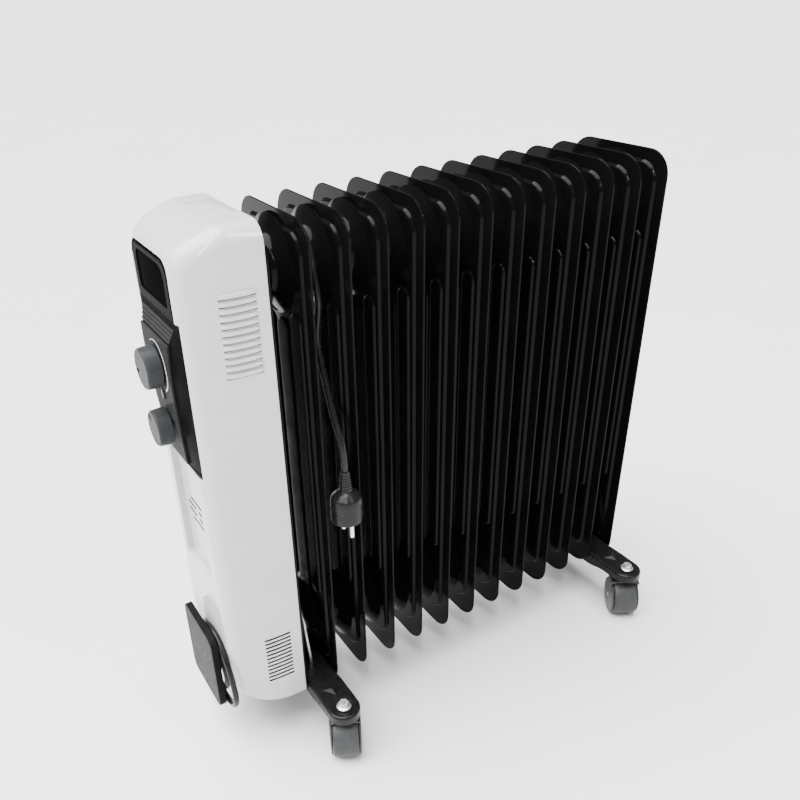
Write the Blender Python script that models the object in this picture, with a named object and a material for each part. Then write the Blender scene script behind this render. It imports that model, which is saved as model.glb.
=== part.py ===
"""Oil filled radiator heater. Metres, +Z up, floor at z = 0, control housing toward -X."""

import math

import bmesh
import bpy
from mathutils import Matrix, Vector

# Measures along X are taken from the second fin and heights from the fins' bottom edge.
# SHIFT brings them to the middle of the length and to the floor.
SHIFT = Vector((-0.16005, 0.0, 0.055))
GAP = 0.0003

FINS = 13
PITCH = 0.0421
FIN_HALF_DEPTH = 0.0766
FIN_HEIGHT = 0.580
FIN_CORNER = 0.029
RIM_HALF = 0.001
PILLOW_HALF = 0.0085
PILLOW_Y = 0.0626
PILLOW_BOTTOM, PILLOW_TOP = 0.0245, 0.5665
NECK_HALF = PITCH / 2 - GAP / 2
UPPER_Z, UPPER_NECK_R, UPPER_DOME_R = 0.5235, 0.033, 0.0395
LOWER_Z, LOWER_NECK_R, LOWER_DOME_R = 0.0675, 0.034, 0.038
BORE_R = 0.028

HOUSING_REAR, HOUSING_FRONT = -0.0436, -0.1270
HOUSING_HALF_W = 0.0755
HOUSING_TOP, HOUSING_BOTTOM = 0.588, 0.008
WALL = 0.0025
SLOT_ROWS = 12

KNOB_Z, SELECTOR_Z, LAMP_Z = 0.4475, 0.381, 0.4166
PANEL_BOTTOM, PANEL_SHOULDER, PANEL_TOP = 0.342, 0.505, 0.5625
PANEL_BACK = -0.1185
SHAFT_R = 0.003

PLATE_BACK = -0.1349
CORD_R = 0.0035
WIND_Z = 0.064

FEET_X = (-PITCH / 2, 10.5 * PITCH)
BRACKET_TOP = 0.024
SHEET = 0.002
BOLT_Y = 0.129
U_LEG_Y = 0.046
WHEEL_R, WHEEL_HALF = 0.028, 0.0155
WHEEL_Z = -SHIFT.z + WHEEL_R
TRAIL = 0.004
BOSS_R = 0.0085
CASTER_YAW = (math.radians(-27), math.radians(-33))

BLACK = ((0.012, 0.012, 0.013), 0.18, 0.0)
WHITE = ((0.86, 0.87, 0.86), 0.3, 0.0)
DARK = ((0.045, 0.045, 0.047), 0.42, 0.0)
GREY = ((0.10, 0.10, 0.10), 0.45, 0.0)
GLASSY = ((0.005, 0.005, 0.006), 0.08, 0.0)
KNOB = ((0.085, 0.09, 0.095), 0.4, 0.0)
STEEL_BLACK = ((0.03, 0.03, 0.031), 0.4, 0.0)
ZINC = ((0.72, 0.73, 0.74), 0.3, 1.0)
TREAD = ((0.11, 0.115, 0.12), 0.6, 0.0)
CABLE = ((0.015, 0.015, 0.016), 0.35, 0.0)
CREAM = ((0.55, 0.5, 0.4), 0.5, 0.0)
LAMP = ((0.6, 0.09, 0.04), 0.2, 0.0)
STEEL = ((0.5, 0.5, 0.5), 0.35, 1.0)

for old in list(bpy.data.objects):
    bpy.data.objects.remove(old, do_unlink=True)


def material(name, look):
    colour, rough, metal = look
    made = bpy.data.materials.new(name + "_finish")
    made.use_nodes = True
    shader = made.node_tree.nodes["Principled BSDF"]
    shader.inputs["Base Color"].default_value = (*colour, 1)
    shader.inputs["Roughness"].default_value = rough
    shader.inputs["Metallic"].default_value = metal
    made.diffuse_color = (*colour, 1)
    return made


def place(name, bm, look=None, origin=(0, 0, 0), smooth=True):
    """An object from a bmesh in the measuring frame, with its origin at a point. No look: a helper."""
    origin = Vector(origin)
    bmesh.ops.remove_doubles(bm, verts=bm.verts, dist=1e-6)
    bmesh.ops.recalc_face_normals(bm, faces=bm.faces)
    bmesh.ops.translate(bm, verts=bm.verts, vec=-origin)
    mesh = bpy.data.meshes.new(name)
    bm.to_mesh(mesh)
    bm.free()
    obj = bpy.data.objects.new(name, mesh)
    obj.location = origin + SHIFT
    bpy.context.scene.collection.objects.link(obj)
    if look:
        mesh.materials.append(material(name, look))
        if smooth:
            shade(obj)
    else:
        obj.hide_render = True
        obj.display_type = "WIRE"
    return obj


def shade(obj):
    for face in obj.data.polygons:
        face.use_smooth = True
    if obj.type == "MESH":
        for edge in obj.data.edges:
            edge.use_edge_sharp = False
        obj.data.set_sharp_from_angle(angle=math.radians(35))


def bake(obj):
    """Applies the modifiers, so that copies can share the mesh."""
    graph = bpy.context.evaluated_depsgraph_get()
    graph.update()
    mesh = bpy.data.meshes.new_from_object(obj.evaluated_get(graph))
    obj.modifiers.clear()
    obj.data = mesh
    return obj


def boolean(obj, helper, operation="DIFFERENCE"):
    step = obj.modifiers.new(operation.lower(), "BOOLEAN")
    step.solver = "EXACT"
    step.operation = operation
    step.object = helper
    return obj


def loft(rings, bm=None, closed=False, caps=True):
    """A skin over rings of equal point counts."""
    bm = bm or bmesh.new()
    rows = [[bm.verts.new(point) for point in ring] for ring in rings]
    count = len(rows[0])
    pairs = list(zip(rows, rows[1:]))
    if closed:
        pairs.append((rows[-1], rows[0]))
    for low, high in pairs:
        for i in range(count):
            j = (i + 1) % count
            bm.faces.new((low[i], low[j], high[j], high[i]))
    if caps and not closed:
        bm.faces.new(list(reversed(rows[0])))
        bm.faces.new(rows[-1])
    return bm


def along(axis, centre, a, b, h):
    """The point at (a, b) across the axis and h along it."""
    x, y, z = centre
    if axis == "X":
        return Vector((h, y + a, z + b))
    if axis == "Y":
        return Vector((x + b, h, z + a))
    return Vector((x + a, y + b, h))


def revolve(profile, axis, centre, sides, bm=None, closed=False):
    """profile: (radius, distance along the axis) pairs."""
    turns = [2 * math.pi * (k + 0.5) / sides for k in range(sides)]
    rings = [
        [along(axis, centre, r * math.cos(t), r * math.sin(t), h) for t in turns]
        for r, h in profile
    ]
    return loft(rings, bm, closed)


def rod(axis, centre, radius, start, end, sides=12, bm=None):
    return revolve([(radius, start), (radius, end)], axis, centre, sides, bm)


def bar(start, end, radius, sides=12):
    """A straight round bar between two points."""
    start, end = Vector(start), Vector(end)
    bm = rod("Z", (0, 0, 0), radius, 0, (end - start).length, sides)
    turn = (end - start).to_track_quat("Z", "Y").to_matrix().to_4x4()
    bmesh.ops.transform(bm, matrix=Matrix.Translation(start) @ turn, verts=bm.verts)
    return bm


def box(x0, x1, y0, y1, z0, z1, bm=None):
    ring = [(y0, z0), (y1, z0), (y1, z1), (y0, z1)]
    return loft([[Vector((x, y, z)) for y, z in ring] for x in (x0, x1)], bm)


def rounded(y0, y1, z0, z1, radius, steps, top_radius=None):
    """The outline of a rectangle with round corners, as (y, z) pairs."""
    top = radius if top_radius is None else top_radius
    corners = (
        (y1 - radius, z0 + radius, radius, -90),
        (y1 - top, z1 - top, top, 0),
        (y0 + top, z1 - top, top, 90),
        (y0 + radius, z0 + radius, radius, 180),
    )
    points = []
    for cy, cz, r, start in corners:
        for k in range(steps + 1):
            t = math.radians(start + 90 * k / steps)
            points.append((cy + r * math.cos(t), cz + r * math.sin(t)))
    return points


def slab(outline, x0, x1, bm=None):
    return loft([[Vector((x, y, z)) for y, z in outline] for x in (x0, x1)], bm)


def moved(bm, yaw, to):
    bmesh.ops.transform(bm, matrix=Matrix.Rotation(yaw, 4, "Z"), verts=bm.verts)
    bmesh.ops.translate(bm, verts=bm.verts, vec=to)
    return bm


def tube(name, points, radius, look, sides=2):
    """A round bar along a path, with both ends filled."""
    curve = bpy.data.curves.new(name, "CURVE")
    curve.dimensions = "3D"
    curve.bevel_depth = radius
    curve.bevel_resolution = sides
    curve.use_fill_caps = True
    path = curve.splines.new("POLY")
    path.points.add(len(points) - 1)
    path.use_smooth = True
    for spot, point in zip(path.points, points):
        spot.co = (*point, 1)
    obj = bpy.data.objects.new(name, curve)
    obj.location = SHIFT
    curve.materials.append(material(name, look))
    bpy.context.scene.collection.objects.link(obj)
    return obj


def smooth_path(knots, step):
    """A Catmull-Rom curve through the knots in even steps. Its first two knots stay, square to its end."""
    knots = [Vector(k) for k in knots]
    ends = [2 * knots[0] - knots[1], *knots, 2 * knots[-1] - knots[-2]]
    fine = []
    for a, b, c, d in zip(ends, ends[1:], ends[2:], ends[3:]):
        for k in range(24):
            t = k / 24
            fine.append(
                0.5
                * (
                    2 * b
                    + (c - a) * t
                    + (2 * a - 5 * b + 4 * c - d) * t**2
                    + (3 * b - a - 3 * c + d) * t**3
                )
            )
    fine.append(knots[-1])
    length = sum((q - p).length for p, q in zip(fine, fine[1:]))
    count = round(length / step)
    picked, run, k = [fine[0]], 0.0, 1
    for p, q in zip(fine, fine[1:]):
        piece = (q - p).length
        while k < count and run + piece >= k * length / count:
            picked.append(p.lerp(q, (k * length / count - run) / piece))
            k += 1
        run += piece
    picked.append(fine[-1])
    return [picked[0], knots[1], *picked[1:]]


# ---------------------------------------------------------------- fins


def fin_shape(outer_neck):
    """One fin round its own middle plane. outer_neck is False on the last fin."""

    def pillow(inset):
        return rounded(
            -PILLOW_Y + inset,
            PILLOW_Y - inset,
            PILLOW_BOTTOM + inset,
            PILLOW_TOP - inset,
            0.018 - inset / 2,
            3,
        )

    rim = rounded(-FIN_HALF_DEPTH, FIN_HALF_DEPTH, 0, FIN_HEIGHT, FIN_CORNER, 3)
    half = [(PILLOW_HALF, pillow(0.006)), (RIM_HALF, pillow(0)), (RIM_HALF, rim)]
    stack = [(-x, ring) for x, ring in half] + [(x, ring) for x, ring in reversed(half)]
    body = place(
        "fin_body", loft([[Vector((x, y, z)) for y, z in ring] for x, ring in stack]), BLACK
    )
    for z, neck, dome in (
        (UPPER_Z, UPPER_NECK_R, UPPER_DOME_R),
        (LOWER_Z, LOWER_NECK_R, LOWER_DOME_R),
    ):
        profile = [(neck, -NECK_HALF), (neck, -0.0125), (dome, -0.0075)]
        if outer_neck:
            profile += [(dome, 0.0075), (neck, 0.0125), (neck, NECK_HALF)]
        else:
            profile += [(dome, 0.002)]
        boolean(body, place("manifold", revolve(profile, "X", (0, 0, z), 12)), "UNION")
    end = 0.03 if outer_neck else 0.004
    boolean(body, place("bore", rod("X", (0, 0, LOWER_Z), BORE_R, -0.03, end, 12)))
    bake(body)
    shade(body)
    return body


inner, last = fin_shape(True), fin_shape(False)
for k in range(FINS):
    source = inner if k < FINS - 1 else last
    name = f"fin_{k + 1:02d}"
    fin = bpy.data.objects.new(name, source.data.copy())
    fin.location = SHIFT + Vector(((k - 1) * PITCH, 0, 0))
    fin.data.materials.clear()
    fin.data.materials.append(material(name, BLACK))
    bpy.context.scene.collection.objects.link(fin)
for helper in (inner, last):
    bpy.data.objects.remove(helper, do_unlink=True)

# ---------------------------------------------------------------- heating elements

FLANGE_X = -PITCH - NECK_HALF - GAP
flange = place(
    "element_flange", rod("X", (0, 0, LOWER_Z), 0.036, FLANGE_X - 0.007, FLANGE_X, 16), STEEL
)
holes = bmesh.new()
for side in (-1, 1):
    for up in (-1, 1):
        rod("X", (0, side * 0.009, LOWER_Z + up * 0.013), 0.0041, -0.08, -0.05, 12, holes)
boolean(flange, place("flange_holes", holes))
for name, up in (("heating_element_low", -1), ("heating_element_high", 1)):
    z = LOWER_Z + up * 0.013
    turn = [
        Vector((0.446 + 0.009 * math.sin(math.radians(a)), 0.009 * math.cos(math.radians(a)), z))
        for a in range(0, 181, 30)
    ]
    tube(name, [Vector((-0.080, 0.009, z)), *turn, Vector((-0.080, -0.009, z))], 0.0035, STEEL, 1)

# ---------------------------------------------------------------- housing


def front_arc(depth, radius):
    return radius - math.sqrt(radius**2 - (radius - depth) ** 2) if depth < radius else 0.0


def housing_section(x):
    depth = x - HOUSING_FRONT
    u = (HOUSING_REAR - x) / (HOUSING_REAR - HOUSING_FRONT)
    half = HOUSING_HALF_W - 0.0135 * u**3.2 - front_arc(depth, 0.012)
    top = HOUSING_TOP - 0.47 * max(0.0, -0.0815 - x) - front_arc(depth, 0.006)
    bottom = HOUSING_BOTTOM + 0.072 * (1 - (1 - min(1.0, u**2.4)) ** (1 / 2.4))
    ring = rounded(-half, half, bottom, top, 0.012, 3, 0.020)
    return [Vector((x, y, z)) for y, z in ring]


stations = [
    HOUSING_REAR + (HOUSING_FRONT - HOUSING_REAR) * math.sin(math.radians(90 * k / 8))
    for k in range(9)
]
skin = loft([housing_section(x) for x in stations], caps=False)
skin.verts.ensure_lookup_table()
skin.faces.new(skin.verts[-16:])
shell = place("housing_shell", skin, WHITE)
wall = shell.modifiers.new("wall", "SOLIDIFY")
wall.thickness = WALL
wall.offset = -1
wall.use_even_offset = True

pocket = place("pocket_walls", box(-0.1262, -0.1172, -0.0425, 0.0425, 0.185, 0.3435))
boolean(shell, pocket, "UNION")


def panel_outline(grow):
    """The control panel's outline as (y, z) pairs: wide below the shoulder, round at the top."""
    wide, narrow, r = 0.057 + grow, 0.0505 + grow, 0.016
    top = PANEL_TOP + grow
    right = [(wide, PANEL_BOTTOM - grow), (wide, PANEL_SHOULDER + grow), (narrow, PANEL_SHOULDER + grow)]
    for k in range(5):
        t = math.radians(90 * k / 4)
        right.append((narrow - r + r * math.cos(t), top - r + r * math.sin(t)))
    return right + [(-y, z) for y, z in reversed(right)]


boolean(shell, place("panel_opening", slab(panel_outline(GAP), -0.14, -0.112)))
boolean(shell, place("front_pocket", slab(rounded(-0.040, 0.040, 0.1875, 0.3405, 0.010, 3), -0.14, -0.1197)))

cuts = bmesh.new()
for first, pitch, height, x0, x1 in (
    (0.449, 0.0070, 0.0030, -0.0934, -0.0545),
    (0.054, 0.00573, 0.0024, -0.0900, -0.0555),
):
    for row in range(SLOT_ROWS):
        z = first + row * pitch
        box(x0, x1, -0.09, 0.09, z - height / 2, z + height / 2, cuts)
for z, spans in (
    (0.2770, ((-0.0175, 0.0175),)),
    (0.2680, ((-0.0270, -0.0030), (0.0030, 0.0270))),
    (0.2590, ((-0.0270, -0.0030), (0.0030, 0.0270))),
    (0.2500, ((-0.0175, 0.0175),)),
):
    for y0, y1 in spans:
        box(-0.1230, -0.1150, y0, y1, z - 0.0013, z + 0.0013, cuts)
boolean(shell, place("slots", cuts))
boolean(shell, place("cover_seat", box(-0.0768, -0.0472, -0.0303, 0.0303, 0.5867, 0.60)))
place("top_cover", box(-0.0765, -0.0475, -0.030, 0.030, 0.5870, 0.5880), WHITE)

# ---------------------------------------------------------------- control panel


def face_x(z):
    """The front of the knob fascia at a height: a shallow bow."""
    return -0.1350 + 0.0062 * (abs(0.450 - z) / 0.106) ** 1.6


def face_half(z):
    return 0.0245 + 0.0145 * (z - 0.344) / 0.137


levels = [0.344 + 0.137 * k / 8 for k in range(9)]
rings = []
for z in [PANEL_BOTTOM, *levels[1:]]:
    rings.append((0.057, -0.1248, face_half(z), face_x(z) + 0.0023, z))
for z in (0.4985, PANEL_SHOULDER):
    rings.append((0.057, -0.1248, 0.050, -0.1268, z))
rings.append((0.0505, -0.1262, 0.0500, -0.1268, PANEL_SHOULDER + 0.0002))
for k in range(6):
    t = math.radians(90 * k / 5)
    z = PANEL_TOP - 0.016 + 0.016 * math.sin(t)
    half = 0.0345 + 0.016 * math.cos(t)
    rings.append((half, -0.1262, half - 0.0005, -0.1268, z))
panel = place(
    "control_panel",
    loft(
        [
            [
                Vector((x, y, z))
                for y, x in (
                    (-side, PANEL_BACK),
                    (-side, edge),
                    (-half, face),
                    (half, face),
                    (side, edge),
                    (side, PANEL_BACK),
                )
            ]
            for side, edge, half, face, z in rings
        ]
    ),
    DARK,
)
window = rounded(-0.0385, 0.0385, 0.5155, 0.5550, 0.004, 3, 0.012)
window_seat = rounded(-0.0388, 0.0388, 0.5152, 0.5553, 0.004, 3, 0.012)
boolean(panel, place("window_seat", slab(window_seat, -0.14, -0.1252)))
place("display_window", slab(window, -0.1266, -0.1255), GLASSY)
shaft_holes = bmesh.new()
for z in (KNOB_Z, SELECTOR_Z):
    rod("X", (0, 0, z), 0.0042, -0.15, -0.10, 12, shaft_holes)
boolean(panel, place("shaft_holes", shaft_holes))

fascia = place(
    "knob_fascia",
    loft(
        [
            [
                Vector((x, y, z))
                for y, x in (
                    (-face_half(z), face_x(z) + 0.002),
                    (-face_half(z), face_x(z)),
                    (face_half(z), face_x(z)),
                    (face_half(z), face_x(z) + 0.002),
                )
            ]
            for z in levels
        ]
    ),
    GREY,
)
fascia_holes = bmesh.new()
for z, r in ((KNOB_Z, 0.0042), (SELECTOR_Z, 0.0042), (LAMP_Z, 0.0056)):
    rod("X", (0, 0, z), r, -0.15, -0.12, 14, fascia_holes)
boolean(fascia, place("fascia_holes", fascia_holes))
place(
    "indicator_lamp",
    revolve([(0.0052, -0.1320), (0.0052, -0.1342), (0.0035, -0.1350)], "X", (0, 0, LAMP_Z), 14),
    LAMP,
)

# Each row: names, height, radius, back, front, half size of the body inside, the pointer's angle.
CONTROLS = (
    (
        ("thermostat_body", "thermostat_shaft", "thermostat_knob"),
        (KNOB_Z, 0.022, -0.1355, -0.1515, 0.017, math.radians(-24)),
    ),
    (
        ("selector_switch", "selector_shaft", "selector_knob"),
        (SELECTOR_Z, 0.020, -0.1345, -0.1500, 0.0125, math.radians(48)),
    ),
)
for (body_name, shaft_name, knob_name), (z, r, back, front, size, pointer) in CONTROLS:
    inside = PANEL_BACK + GAP
    body = place(body_name, box(inside, inside + 0.024, -size, size, z - size, z + size), CREAM, smooth=False)
    boolean(body, place("shaft_seat", rod("X", (0, 0, z), 0.0034, inside - 0.01, inside + 0.0055)))
    place(
        shaft_name,
        rod("X", (0, 0, z), SHAFT_R, front + 0.0035, inside + 0.005, 12),
        STEEL,
        origin=(front + 0.0035, 0, z),
    )
    knob = place(
        knob_name,
        revolve(
            [
                (r - 0.0008, back),
                (r, back - 0.0008),
                (r - 0.0012, front + 0.0008),
                (r - 0.0022, front),
                (r - 0.0034, front),
                (r - 0.0042, front + 0.0008),
            ],
            "X",
            (0, 0, z),
            24,
        ),
        KNOB,
        origin=(back, 0, z),
    )
    boolean(knob, place("knob_bore", rod("X", (0, 0, z), 0.0033, back + 0.01, front + 0.0032)))
    slot = slab(
        [(r - 0.0105, -0.0006), (r - 0.0015, -0.0022), (r - 0.0015, 0.0022), (r - 0.0105, 0.0006)],
        front - 0.002,
        front + 0.0020,
    )
    bmesh.ops.transform(slot, matrix=Matrix.Rotation(pointer, 4, "X"), verts=slot.verts)
    bmesh.ops.translate(slot, verts=slot.verts, vec=(0, 0, z))
    boolean(knob, place("pointer_cut", slot))

# ---------------------------------------------------------------- pieces inside the housing

place(
    "thermal_cutout",
    revolve(
        [(0.008, -PITCH - PILLOW_HALF - GAP), (0.008, -0.0570), (0.005, -0.0600)],
        "X",
        (0, 0.020, 0.300),
        14,
    ),
    STEEL,
)
place("tip_over_switch", box(-0.100, -0.082, 0.047, 0.067, 0.300, 0.330), DARK, smooth=False)
place("terminal_block", box(-0.1240, -0.1100, -0.020, 0.020, 0.150, 0.172), CREAM, smooth=False)

# ---------------------------------------------------------------- cord wrap, gland, cord

wrap = place(
    "cord_wrap_plate",
    loft(
        [
            [Vector((x, y, z)) for y, z in rounded(-0.044 + d, 0.044 - d, 0.010 + d, 0.118 - d, 0.012 - d, 3)]
            for x, d in ((PLATE_BACK - 0.0081, 0.0012), (PLATE_BACK - 0.0069, 0), (PLATE_BACK, 0))
        ]
    ),
    DARK,
)
HUB = (-0.020, 0.020, WIND_Z - 0.028, WIND_Z + 0.028)
boolean(
    wrap,
    place("hub", slab(rounded(*HUB, 0.0199, 4), PLATE_BACK - 0.003, HOUSING_FRONT - GAP)),
    "UNION",
)

# The cord leaves a gland under the housing, climbs to the inner turn and winds outward. Its outer turn
# leaves the winding along the bottom, toward +Y.
DIVE_TOP = Vector((-0.1277, 0.0236, 0.0505))
DIVE_END = Vector((-0.1215, 0.0256, 0.0360))
DIVE = (DIVE_END - DIVE_TOP).normalized()


def loop_outline(count=36):
    """The outermost turn: round, with slack toward -Y."""
    points = []
    for k in range(count):
        t = 2 * math.pi * k / count
        c, s = math.cos(t), math.sin(t)
        y = -0.0165 + 0.0585 * math.copysign(abs(c) ** (2 / 2.4), c)
        z = WIND_Z + 0.0575 * math.copysign(abs(s) ** (2 / 2.4), s)
        points.append((y, z))
    return points


winding = place("power_cord_winding", slab(loop_outline(), -0.1346, HOUSING_FRONT - GAP), CABLE)
boolean(
    winding,
    place("core", slab(rounded(-0.0205, 0.0205, WIND_Z - 0.0285, WIND_Z + 0.0285, 0.0204, 4), -0.15, -0.11)),
)
boolean(winding, place("tail", bar(DIVE_TOP, DIVE_END, CORD_R)), "UNION")

TAIL_END = Vector((-0.1308, 0.0290, 0.0158))
boolean(winding, place("outer_tail", bar((-0.1310, 0.0, 0.0170), TAIL_END, CORD_R)), "UNION")

ELBOW = DIVE_END + DIVE * 0.012
OUT_OF_HOUSING = Vector((-0.727, 0, -0.686)).normalized()


def cone(start, end, start_r, end_r, sides=14):
    """A straight round bar between two points that changes in radius."""
    bm = revolve([(start_r, 0), (end_r, (end - start).length)], "Z", (0, 0, 0), sides)
    turn = (end - start).to_track_quat("Z", "Y").to_matrix().to_4x4()
    bmesh.ops.transform(bm, matrix=Matrix.Translation(start) @ turn, verts=bm.verts)
    return bm


gland = place(
    "cord_gland",
    cone(ELBOW + OUT_OF_HOUSING * 0.0045, ELBOW - OUT_OF_HOUSING * 0.0072, 0.0050, 0.0064),
    DARK,
)
boolean(gland, place("boot", cone(DIVE_END + DIVE * GAP, ELBOW, 0.0037, 0.0047)), "UNION")

ARCH_R = UPPER_NECK_R + CORD_R + 0.0016
MID = PITCH / 2
arch = [
    (MID, ARCH_R * math.cos(math.radians(a)), UPPER_Z + ARCH_R * math.sin(math.radians(a)))
    for a in range(0, 181, 20)
]
route = [
    TAIL_END + Vector((0, GAP, 0)),
    TAIL_END + Vector((0.0002, 0.0045, -0.0002)),
    (-0.1300, 0.0380, 0.0150),
    (-0.1275, 0.0480, 0.0138),
    (-0.1225, 0.0590, 0.0130),
    (-0.1145, 0.0700, 0.0135),
    (-0.1040, 0.0795, 0.0150),
    (-0.0920, 0.0885, 0.0170),
    (-0.0700, 0.0965, 0.0240),
    (-0.0450, 0.0985, 0.0290),
    (-0.0211, 0.0975, 0.0292),
    (-0.0010, 0.0955, 0.0345),
    (0.0130, 0.0925, 0.0520),
    (0.0200, 0.0900, 0.0850),
    (0.0213, 0.0860, 0.1500),
    (0.0212, 0.0770, 0.2500),
    (0.0211, 0.0640, 0.3600),
    (0.0211, 0.0500, 0.4500),
    (MID, 0.0410, 0.4950),
    *arch,
    (MID, -0.0430, 0.5060),
    (MID, -0.0455, 0.4900),
    (MID, -0.0415, 0.4700),
    (MID, -0.0380, 0.4520),
    (MID, -0.0400, 0.4370),
    (MID, -0.0500, 0.4080),
    (MID, -0.0660, 0.3680),
    (MID, -0.0790, 0.3440),
    (MID, -0.0829, 0.3240),
    (MID, -0.0830, 0.3142),
]
tube("power_cord", smooth_path(route, 0.0165), CORD_R, CABLE)

plug = place(
    "plug",
    revolve(
        [
            (0.0045, 0.3137),
            (0.0070, 0.2900),
            (0.0105, 0.2880),
            (0.0165, 0.2820),
            (0.0180, 0.2760),
            (0.0180, 0.2520),
            (0.0170, 0.2510),
        ],
        "Z",
        (MID, -0.083, 0),
        24,
    ),
    CABLE,
)
pins = bmesh.new()
for side in (-1, 1):
    rod("Z", (MID, -0.083 + side * 0.0095, 0), 0.0024, 0.232, 0.256, 10, pins)
boolean(plug, place("pins", pins), "UNION")

# ---------------------------------------------------------------- feet

FOOT_HALF, WAIST_HALF = 0.020, 0.0185
END_Y = 0.128


def bracket_outline(inset):
    """The top's outline as (x, y) pairs: a waist in the middle and round ends."""
    half, waist = FOOT_HALF - inset, WAIST_HALF - inset
    right = [(half, -0.104), (half, -0.084), (waist, -0.074), (waist, 0.074), (half, 0.084), (half, 0.104)]
    right.append((half, END_Y))
    for k in range(1, 8):
        t = math.radians(180 * k / 8)
        right.append((half * math.cos(t), END_Y + half * math.sin(t)))
    return right + [(-x, -y) for x, y in right]


def bracket_low(y):
    """The flange's lower edge: it is shallower toward the ends."""
    return 0.0045 + 0.0075 * min(1.0, max(0.0, (abs(y) - 0.074) / 0.030))


# (radius, height, hexagon or round) from the shank's end to the top of the head.
BOLT_RINGS = (
    (0.0038, 0.0062, False),
    (0.0038, 0.0243, False),
    (0.00875, 0.0243, False),
    (0.0084, 0.0258, False),
    (0.0050, 0.0262, True),
    (0.0050, 0.0302, True),
    (0.0044, 0.0312, True),
)

for foot, foot_x in enumerate(FEET_X):
    tag = ("front", "rear")[foot]
    rim = bracket_outline(0)
    top = bracket_outline(0.0015)
    rings = [
        [Vector((foot_x + x, y, bracket_low(y))) for x, y in rim],
        [Vector((foot_x + x, y, BRACKET_TOP - 0.0015)) for x, y in rim],
        [Vector((foot_x + x, y, BRACKET_TOP)) for x, y in top],
    ]
    skin = loft(rings, caps=False)
    skin.verts.ensure_lookup_table()
    skin.faces.new(skin.verts[-len(top):])
    bracket = place(f"foot_bracket_{tag}", skin, STEEL_BLACK)
    sheet = bracket.modifiers.new("sheet", "SOLIDIFY")
    sheet.thickness = SHEET
    sheet.offset = -1
    sheet.use_even_offset = True
    drills = bmesh.new()
    for side in (-1, 1):
        rod("Z", (foot_x, side * BOLT_Y, 0), 0.0042, 0.0, 0.05, 12, drills)
        rod("Z", (foot_x, side * U_LEG_Y, 0), 0.0030, 0.0, 0.05, 12, drills)
    boolean(bracket, place("drills", drills))

    hoop_r = LOWER_NECK_R + 0.0031
    hoop = [Vector((foot_x, -U_LEG_Y, -0.012)), Vector((foot_x, -U_LEG_Y, 0.026))]
    for a in range(180, -1, -20):
        t = math.radians(a)
        hoop.append(Vector((foot_x, hoop_r * math.cos(t), LOWER_Z + hoop_r * math.sin(t))))
    hoop += [Vector((foot_x, U_LEG_Y, 0.026)), Vector((foot_x, U_LEG_Y, -0.012))]
    tube(f"u_bolt_{tag}", hoop, 0.0025, ZINC, 1)

    for side, letter in ((-1, "a"), (1, "b")):
        spot = (foot_x, side * U_LEG_Y, 0)
        nut = place(
            f"wing_nut_{tag}_{letter}",
            revolve(
                [(0.0030, 0.0137), (0.0050, 0.0137), (0.0060, 0.0217), (0.0030, 0.0217)],
                "Z",
                spot,
                12,
                closed=True,
            ),
            ZINC,
        )
        wings = bmesh.new()
        for way in (-1, 1):
            ends = sorted((foot_x + way * 0.0042, foot_x + way * 0.0130))
            box(*ends, spot[1] - 0.0011, spot[1] + 0.0011, 0.0105, 0.0180, wings)
        boolean(nut, place("wings", wings), "UNION")

    # ------------------------------------------------------------ casters
    for side, letter in ((-1, "a"), (1, "b")):
        tail = f"{tag}_{letter}"
        yaw = CASTER_YAW[foot] * -side
        stem = Vector((foot_x, side * BOLT_Y, 0))
        trail = -side * TRAIL
        rings = []
        for r, z, is_hexagon in BOLT_RINGS:
            ring = []
            for k in range(12):
                degrees = 30 * k + 15
                t = math.radians(degrees)
                reach = r / math.cos(math.radians(degrees % 60 - 30)) if is_hexagon else r
                ring.append(Vector((reach * math.cos(t), reach * math.sin(t), z)))
            rings.append(ring)
        place(f"caster_bolt_{tail}", moved(loft(rings), yaw, stem), ZINC, origin=stem)

        low = Vector((0, trail, WHEEL_Z))
        yoke = place(
            f"caster_yoke_{tail}",
            moved(rod("Z", (0, 0, 0), BOSS_R, BRACKET_TOP - SHEET - GAP, 0.0030, 16), yaw, stem),
            DARK,
            origin=stem,
        )
        saddle = (min(0, trail) - BOSS_R, max(0, trail) + BOSS_R)
        adds = [box(-0.0189, 0.0189, *saddle, 0.0026, 0.0058)]
        for way in (-1, 1):
            a, b = sorted((way * 0.0162, way * 0.0190))
            adds.append(rod("X", low, 0.0250, a, b, 16))
            c, d = sorted((way * 0.0164, way * 0.0188))
            adds.append(box(c, d, trail - BOSS_R, trail + BOSS_R, WHEEL_Z, 0.0050))
        for add in adds:
            boolean(yoke, place("yoke_add", moved(add, yaw, stem)), "UNION")
        boolean(yoke, place("axle_cut", moved(rod("X", low, 0.0033, -0.03, 0.03, 12), yaw, stem)))
        boolean(yoke, place("stem_cut", moved(rod("Z", (0, 0, 0), 0.0041, 0.0055, 0.03, 12), yaw, stem)))
        centre = stem + Matrix.Rotation(yaw, 3, "Z") @ low
        place(
            f"caster_axle_{tail}",
            moved(rod("X", low, 0.0029, -0.0200, 0.0200, 12), yaw, stem),
            STEEL,
            origin=centre,
        )
        flat = 1 / math.cos(math.pi / 24)
        tread = [
            (0.0033, -WHEEL_HALF),
            ((WHEEL_R - 0.0015) * flat, -WHEEL_HALF),
            (WHEEL_R * flat, -WHEEL_HALF + 0.0015),
            (WHEEL_R * flat, WHEEL_HALF - 0.0015),
            ((WHEEL_R - 0.0015) * flat, WHEEL_HALF),
            (0.0033, WHEEL_HALF),
        ]
        place(
            f"caster_wheel_{tail}",
            moved(revolve(tread, "X", low, 24, closed=True), yaw, stem),
            TREAD,
            origin=centre,
        )
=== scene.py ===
import math

import bmesh
import bpy
from mathutils import Matrix, Vector
from mathutils.geometry import intersect_point_line


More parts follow.
